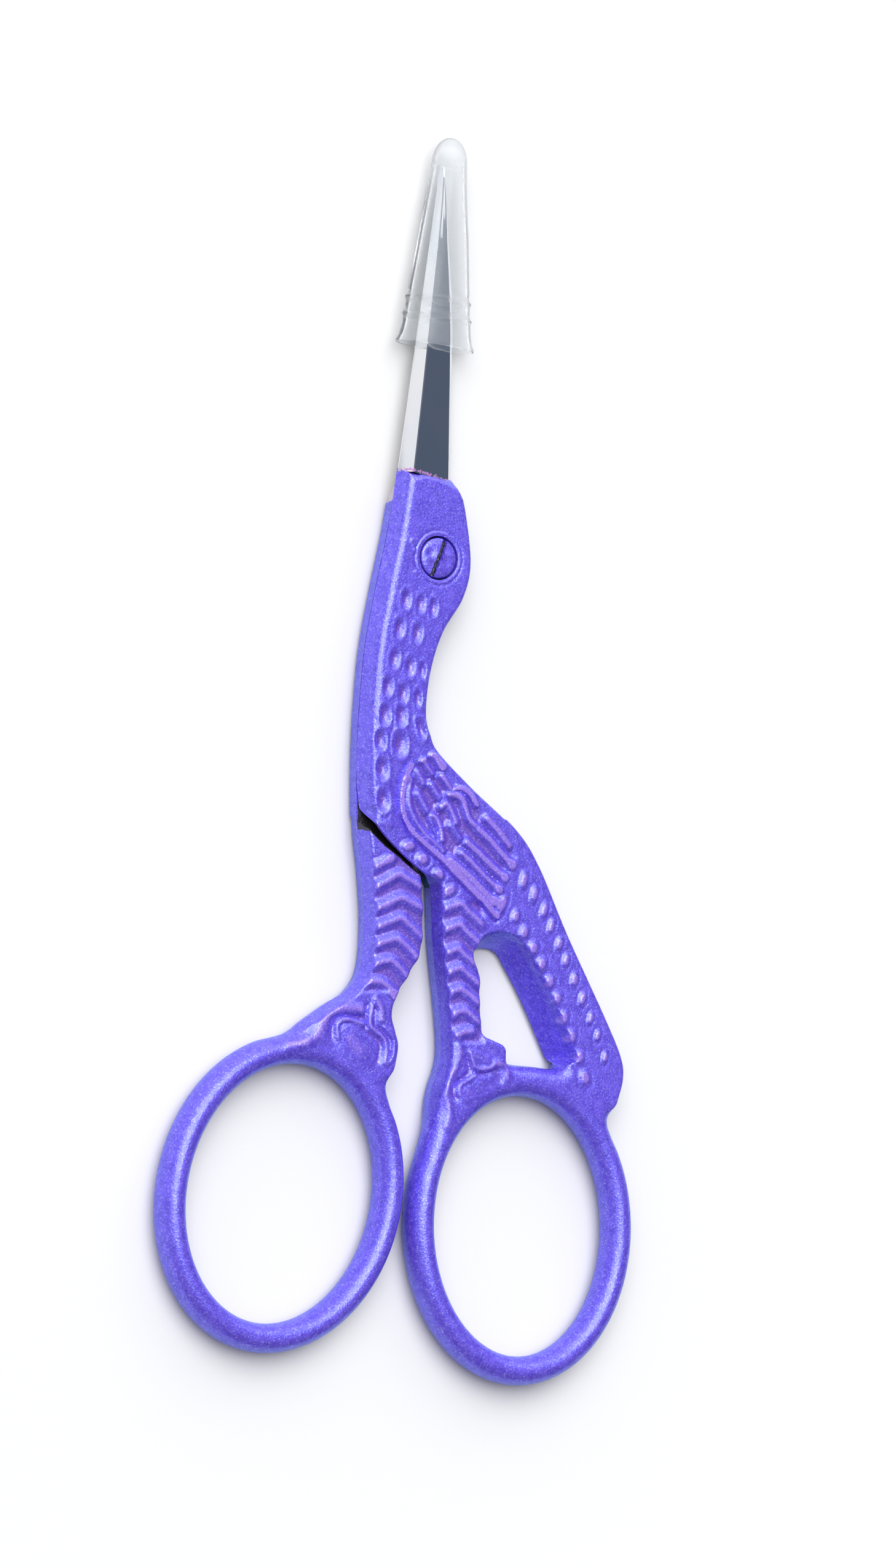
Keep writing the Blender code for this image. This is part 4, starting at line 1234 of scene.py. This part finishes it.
class ScissorsColours(bpy.types.PropertyGroup):
    """Colours a user would change"""
    coat_deep: colour("Coat ground", "Violet-blue of the coat", (0.114, 0.055, 0.60))
    coat_light: colour("Coat cloud", "Lighter drift in the coat", (0.162, 0.090, 0.74))
    # Painted shade in the relief's hollows.
    coat_hollow_shade: colour("Coat hollow", "Coat at the bottom of the relief", (0.175, 0.065, 0.46))
    # Painted sheen on the raised relief's tops.
    coat_crest_sheen: colour("Coat on relief", "Lilac on the raised relief", (0.52, 0.29, 0.80))
    coat_end: colour("Coat end", "Pinkish flecks where the coat stops", (0.50, 0.22, 0.52))
    stray_coat: colour("Stray coat", "Thin pinkish film on steel beside the coat",
                       (0.40, 0.33, 0.42))
    coat_glitter: colour("Glitter", "Pale flakes in the coat", (0.52, 0.50, 1.0))
    # Uncoated metal between the halves made near-black as painted shade, and painted shade in the
    # screw's slot.
    bare_and_shade: colour("Bare metal", "Dark uncoated metal between the halves", (0.075, 0.060, 0.070))
    steel: colour("Steel", "Polished steel", (0.80, 0.80, 0.81))
    steel_cool: colour("Steel, cooler", "Bluish drift in the polish", (0.74, 0.76, 0.80))
    vinyl: colour("Vinyl", "Clear soft vinyl", (0.955, 0.965, 0.972))
    floor: colour("Floor", "Plain pale floor", (0.69, 0.668, 0.660))


def shared_groups():
    """The shader groups, each built once and then found by its name."""
    made = {"grain": ("sprayed_grain", grain_group), "sheen_shade": ("relief_sheen_shade", sheen_shade_group),
            "scratch": ("ground_lines", scratch_group)}
    return {key: bpy.data.node_groups.get(name) or build() for key, (name, build) in made.items()}


# --------------------------------------------------------------------------
# Operators
# --------------------------------------------------------------------------

class SCISSORS_OT_front_casting(bpy.types.Operator):
    """Build the front half's coated casting"""
    bl_idname = "scissors.front_casting"
    bl_label = "Front casting"

    def execute(self, context):
        step = context.scene.scissors_sizes.lattice_step / MM
        verts, tris, marks = casting(front_half(), front_heights, front_show_relief,
                                     front_block_relief, step, step * 1.35, True)
        mat = coat_material("front_pearl_coat", shared_groups(), context.scene.scissors_colours)
        add_piece("front_casting", verts, tris, mat, "front_half",
                  ["front_handle"], marks)
        return {'FINISHED'}


class SCISSORS_OT_back_casting(bpy.types.Operator):
    """Build the back half's coated casting"""
    bl_idname = "scissors.back_casting"
    bl_label = "Back casting"

    def execute(self, context):
        step = context.scene.scissors_sizes.lattice_step / MM
        verts, tris, marks = casting(back_half(), back_heights, back_show_relief,
                                     back_leg_relief, step * 1.3, step, False)
        mat = coat_material("back_pearl_coat", shared_groups(), context.scene.scissors_colours)
        add_piece("back_casting", verts, tris, mat, "back_half",
                  ["back_handle"], marks)
        return {'FINISHED'}


class SCISSORS_OT_blades(bpy.types.Operator):
    """Build the two ground steel blades"""
    bl_idname = "scissors.blades"
    bl_label = "Blades"

    def execute(self, context):
        colours = context.scene.scissors_colours
        for name, rows, face, up, slant, heel, body, cad, slot in (
                ("front_ground_blade", FRONT_BLADE, FRONT_LAP, 1.0, COAT_SLANT, 0.0, "front_half",
                 "front_blade", "front_steel"),
                ("back_ground_blade", BACK_BLADE, BACK_LAP, -1.0, 0.0, 1.2, "back_half",
                 "back_blade", "back_steel")):
            verts, faces = capped(blade_grid(rows, face, up, slant, 0.25, heel))
            mat = steel_material(name + "_steel", shared_groups(), colours)
            add_piece(name, verts, outward(verts, faces), mat, body, [cad], sharp=5.0)
        return {'FINISHED'}


class SCISSORS_OT_pivot(bpy.types.Operator):
    """Build the slotted pivot screw"""
    bl_idname = "scissors.pivot"
    bl_label = "Pivot screw"

    def execute(self, context):
        verts, faces = capped(screw_grid())
        mat = coat_material("screw_pearl_coat", shared_groups(), context.scene.scissors_colours,
                            screw=True)
        marks = np.zeros((len(verts), 2))
        deep = np.hypot(verts[:, 0], verts[:, 1]) < HEAD_R - 0.05
        # The drive slot's floor gets the second mark, so the coat paints it near-black: painted
        # shade in the slot.
        marks[:, 1] = deep * (verts[:, 2] < DRIVE_FLOOR + 0.12) * (verts[:, 2] > HEAD_LOW + 0.1)
        add_piece("slotted_pivot_screw", verts, outward(verts, faces), mat, "back_half",
                  ["pivot_screw"], marks)
        return {'FINISHED'}


class SCISSORS_OT_guard(bpy.types.Operator):
    """Build the clear tip guard"""
    bl_idname = "scissors.guard"
    bl_label = "Tip guard"

    def execute(self, context):
        verts, faces = guard_mesh()
        mat = vinyl_material("clear_vinyl", context.scene.scissors_colours)
        add_piece("clear_tip_guard", verts, outward(verts, faces), mat, "guard",
                  ["tip_guard"], sharp=60.0)
        return {'FINISHED'}


class SCISSORS_OT_stage(bpy.types.Operator):
    """Build the floor, the soft lights and the camera"""
    bl_idname = "scissors.stage"
    bl_label = "Stage"

    def execute(self, context):
        sizes, colours = context.scene.scissors_sizes, context.scene.scissors_colours
        scene = context.scene
        scene.view_settings.view_transform = 'Standard'
        scene.view_settings.look = 'None'
        add_floor(colours)
        add_world(scene)
        add_light("window", (0.34, 0.34, 0.34), 0.34, 0.35, (1.0, 0.99, 0.97))
        add_camera(scene, sizes)
        return {'FINISHED'}


def add_floor(colours):
    """Large plain square just under z = 0."""
    size = 3.0
    mesh = bpy.data.meshes.new("floor")
    mesh.from_pydata([(-size, -size, -0.0001), (size, -size, -0.0001), (size, size, -0.0001),
                      (-size, size, -0.0001)], [], [(0, 1, 2, 3)])
    mat, tree, shader = started("pale_floor")
    shader.inputs['Base Color'].default_value = (*colours.floor, 1.0)
    shader.inputs['Roughness'].default_value = 0.9
    mesh.materials.append(mat)
    floor = bpy.data.objects.new("floor", mesh)
    bpy.context.scene.collection.objects.link(floor)


def add_world(scene):
    """Dim room: mid grey on the left falling to grey-blue on the right and darker at the
    front, a bright wall at the back, and a very bright patch overhead, to the back and a
    little left. Each part is a smooth step of the view direction."""
    world = bpy.data.worlds.new("soft_room")
    scene.world = world
    world.use_nodes = True
    tree = world.node_tree
    back = tree.nodes["Background"]
    split = node(tree, 'ShaderNodeSeparateXYZ')
    where = node(tree, 'ShaderNodeTexCoord')
    tree.links.new(where.outputs['Generated'], split.inputs[0])
    to_right = ranged(tree, split.outputs[0], -0.05, 0.80)
    tint = mixed(tree, to_right, (0.54, 0.55, 0.58), (0.10, 0.127, 0.185))
    aim = node(tree, 'ShaderNodeVectorMath', operation='DOT_PRODUCT')
    tree.links.new(where.outputs['Generated'], aim.inputs[0])
    aim.inputs[1].default_value = Vector((-0.26, 0.38, 0.89)).normalized()
    overhead = ranged(tree, aim.outputs['Value'], 0.80, 0.96)
    to_front = ranged(tree, split.outputs[1], -0.12, -0.75)
    dimmed = mixed(tree, to_front, tint, (0.17, 0.17, 0.21))
    to_back = ranged(tree, split.outputs[1], 0.42, 0.85)
    lit = mixed(tree, to_back, dimmed, (1.35, 1.42, 1.50))
    bright = mixed(tree, overhead, lit, (5.3, 5.5, 5.6))
    tree.links.new(bright, back.inputs['Color'])
    back.inputs['Strength'].default_value = 1.0


def add_light(name, place, size, power, colour):
    """Round area light aimed at the scissors' middle."""
    light = bpy.data.lights.new(name, 'AREA')
    light.shape = 'DISK'
    light.size = size
    light.energy = power
    light.color = colour
    ob = bpy.data.objects.new(name, light)
    ob.location = place
    aim = Vector((0.0, -0.02, 0.0)) - Vector(place)
    ob.rotation_euler = aim.to_track_quat('-Z', 'Y').to_euler()
    bpy.context.scene.collection.objects.link(ob)


SENSOR = 36.0


def add_camera(scene, sizes):
    """Look at the scissors' middle along a line tilted off the vertical; the lens is
    chosen so that the picture covers the frame height at that distance."""
    a, b, far = sizes.camera_tilt, sizes.camera_dip, sizes.camera_distance
    right = Vector((math.cos(a), 0.0, math.sin(a)))
    back = math.cos(b) * Vector((-math.sin(a), 0.0, math.cos(a)))
    back += math.sin(b) * Vector((0, -1, 0))
    up = back.cross(right)
    target = Vector((0.00083, -0.0213, 0.004))
    data = bpy.data.cameras.new("camera")
    data.sensor_width = SENSOR
    data.lens = SENSOR * far / sizes.frame_height
    data.clip_start = 0.01
    camera = bpy.data.objects.new("camera", data)
    turn = Matrix((right, up, back)).transposed()
    camera.matrix_world = Matrix.Translation(target + far * back) @ turn.to_4x4()
    scene.collection.objects.link(camera)
    scene.camera = camera


class SCISSORS_PT_panel(bpy.types.Panel):
    """Sizes, colours and the pieces in building order"""
    bl_label = "Stork scissors"
    bl_idname = "SCISSORS_PT_panel"
    bl_space_type = 'VIEW_3D'
    bl_region_type = 'UI'
    bl_category = "Scissors"

    def draw(self, context):
        layout = self.layout
        for group in (context.scene.scissors_sizes, context.scene.scissors_colours):
            box = layout.box()
            for key in group.__annotations__:
                box.prop(group, key)
        for operator in OPERATORS:
            layout.operator(operator.bl_idname)


OPERATORS = (SCISSORS_OT_front_casting, SCISSORS_OT_back_casting, SCISSORS_OT_blades,
             SCISSORS_OT_pivot, SCISSORS_OT_guard, SCISSORS_OT_stage)
CLASSES = (ScissorsSizes, ScissorsColours, *OPERATORS, SCISSORS_PT_panel)


def register():
    for cls in CLASSES:
        bpy.utils.register_class(cls)
    bpy.types.Scene.scissors_sizes = PointerProperty(type=ScissorsSizes)
    bpy.types.Scene.scissors_colours = PointerProperty(type=ScissorsColours)


def unregister():
    del bpy.types.Scene.scissors_colours
    del bpy.types.Scene.scissors_sizes
    for cls in reversed(CLASSES):
        bpy.utils.unregister_class(cls)


def main():
    register()
    for operator in OPERATORS:
        group, name = operator.bl_idname.split(".")
        getattr(getattr(bpy.ops, group), name)()


if __name__ == "__main__":
    main()
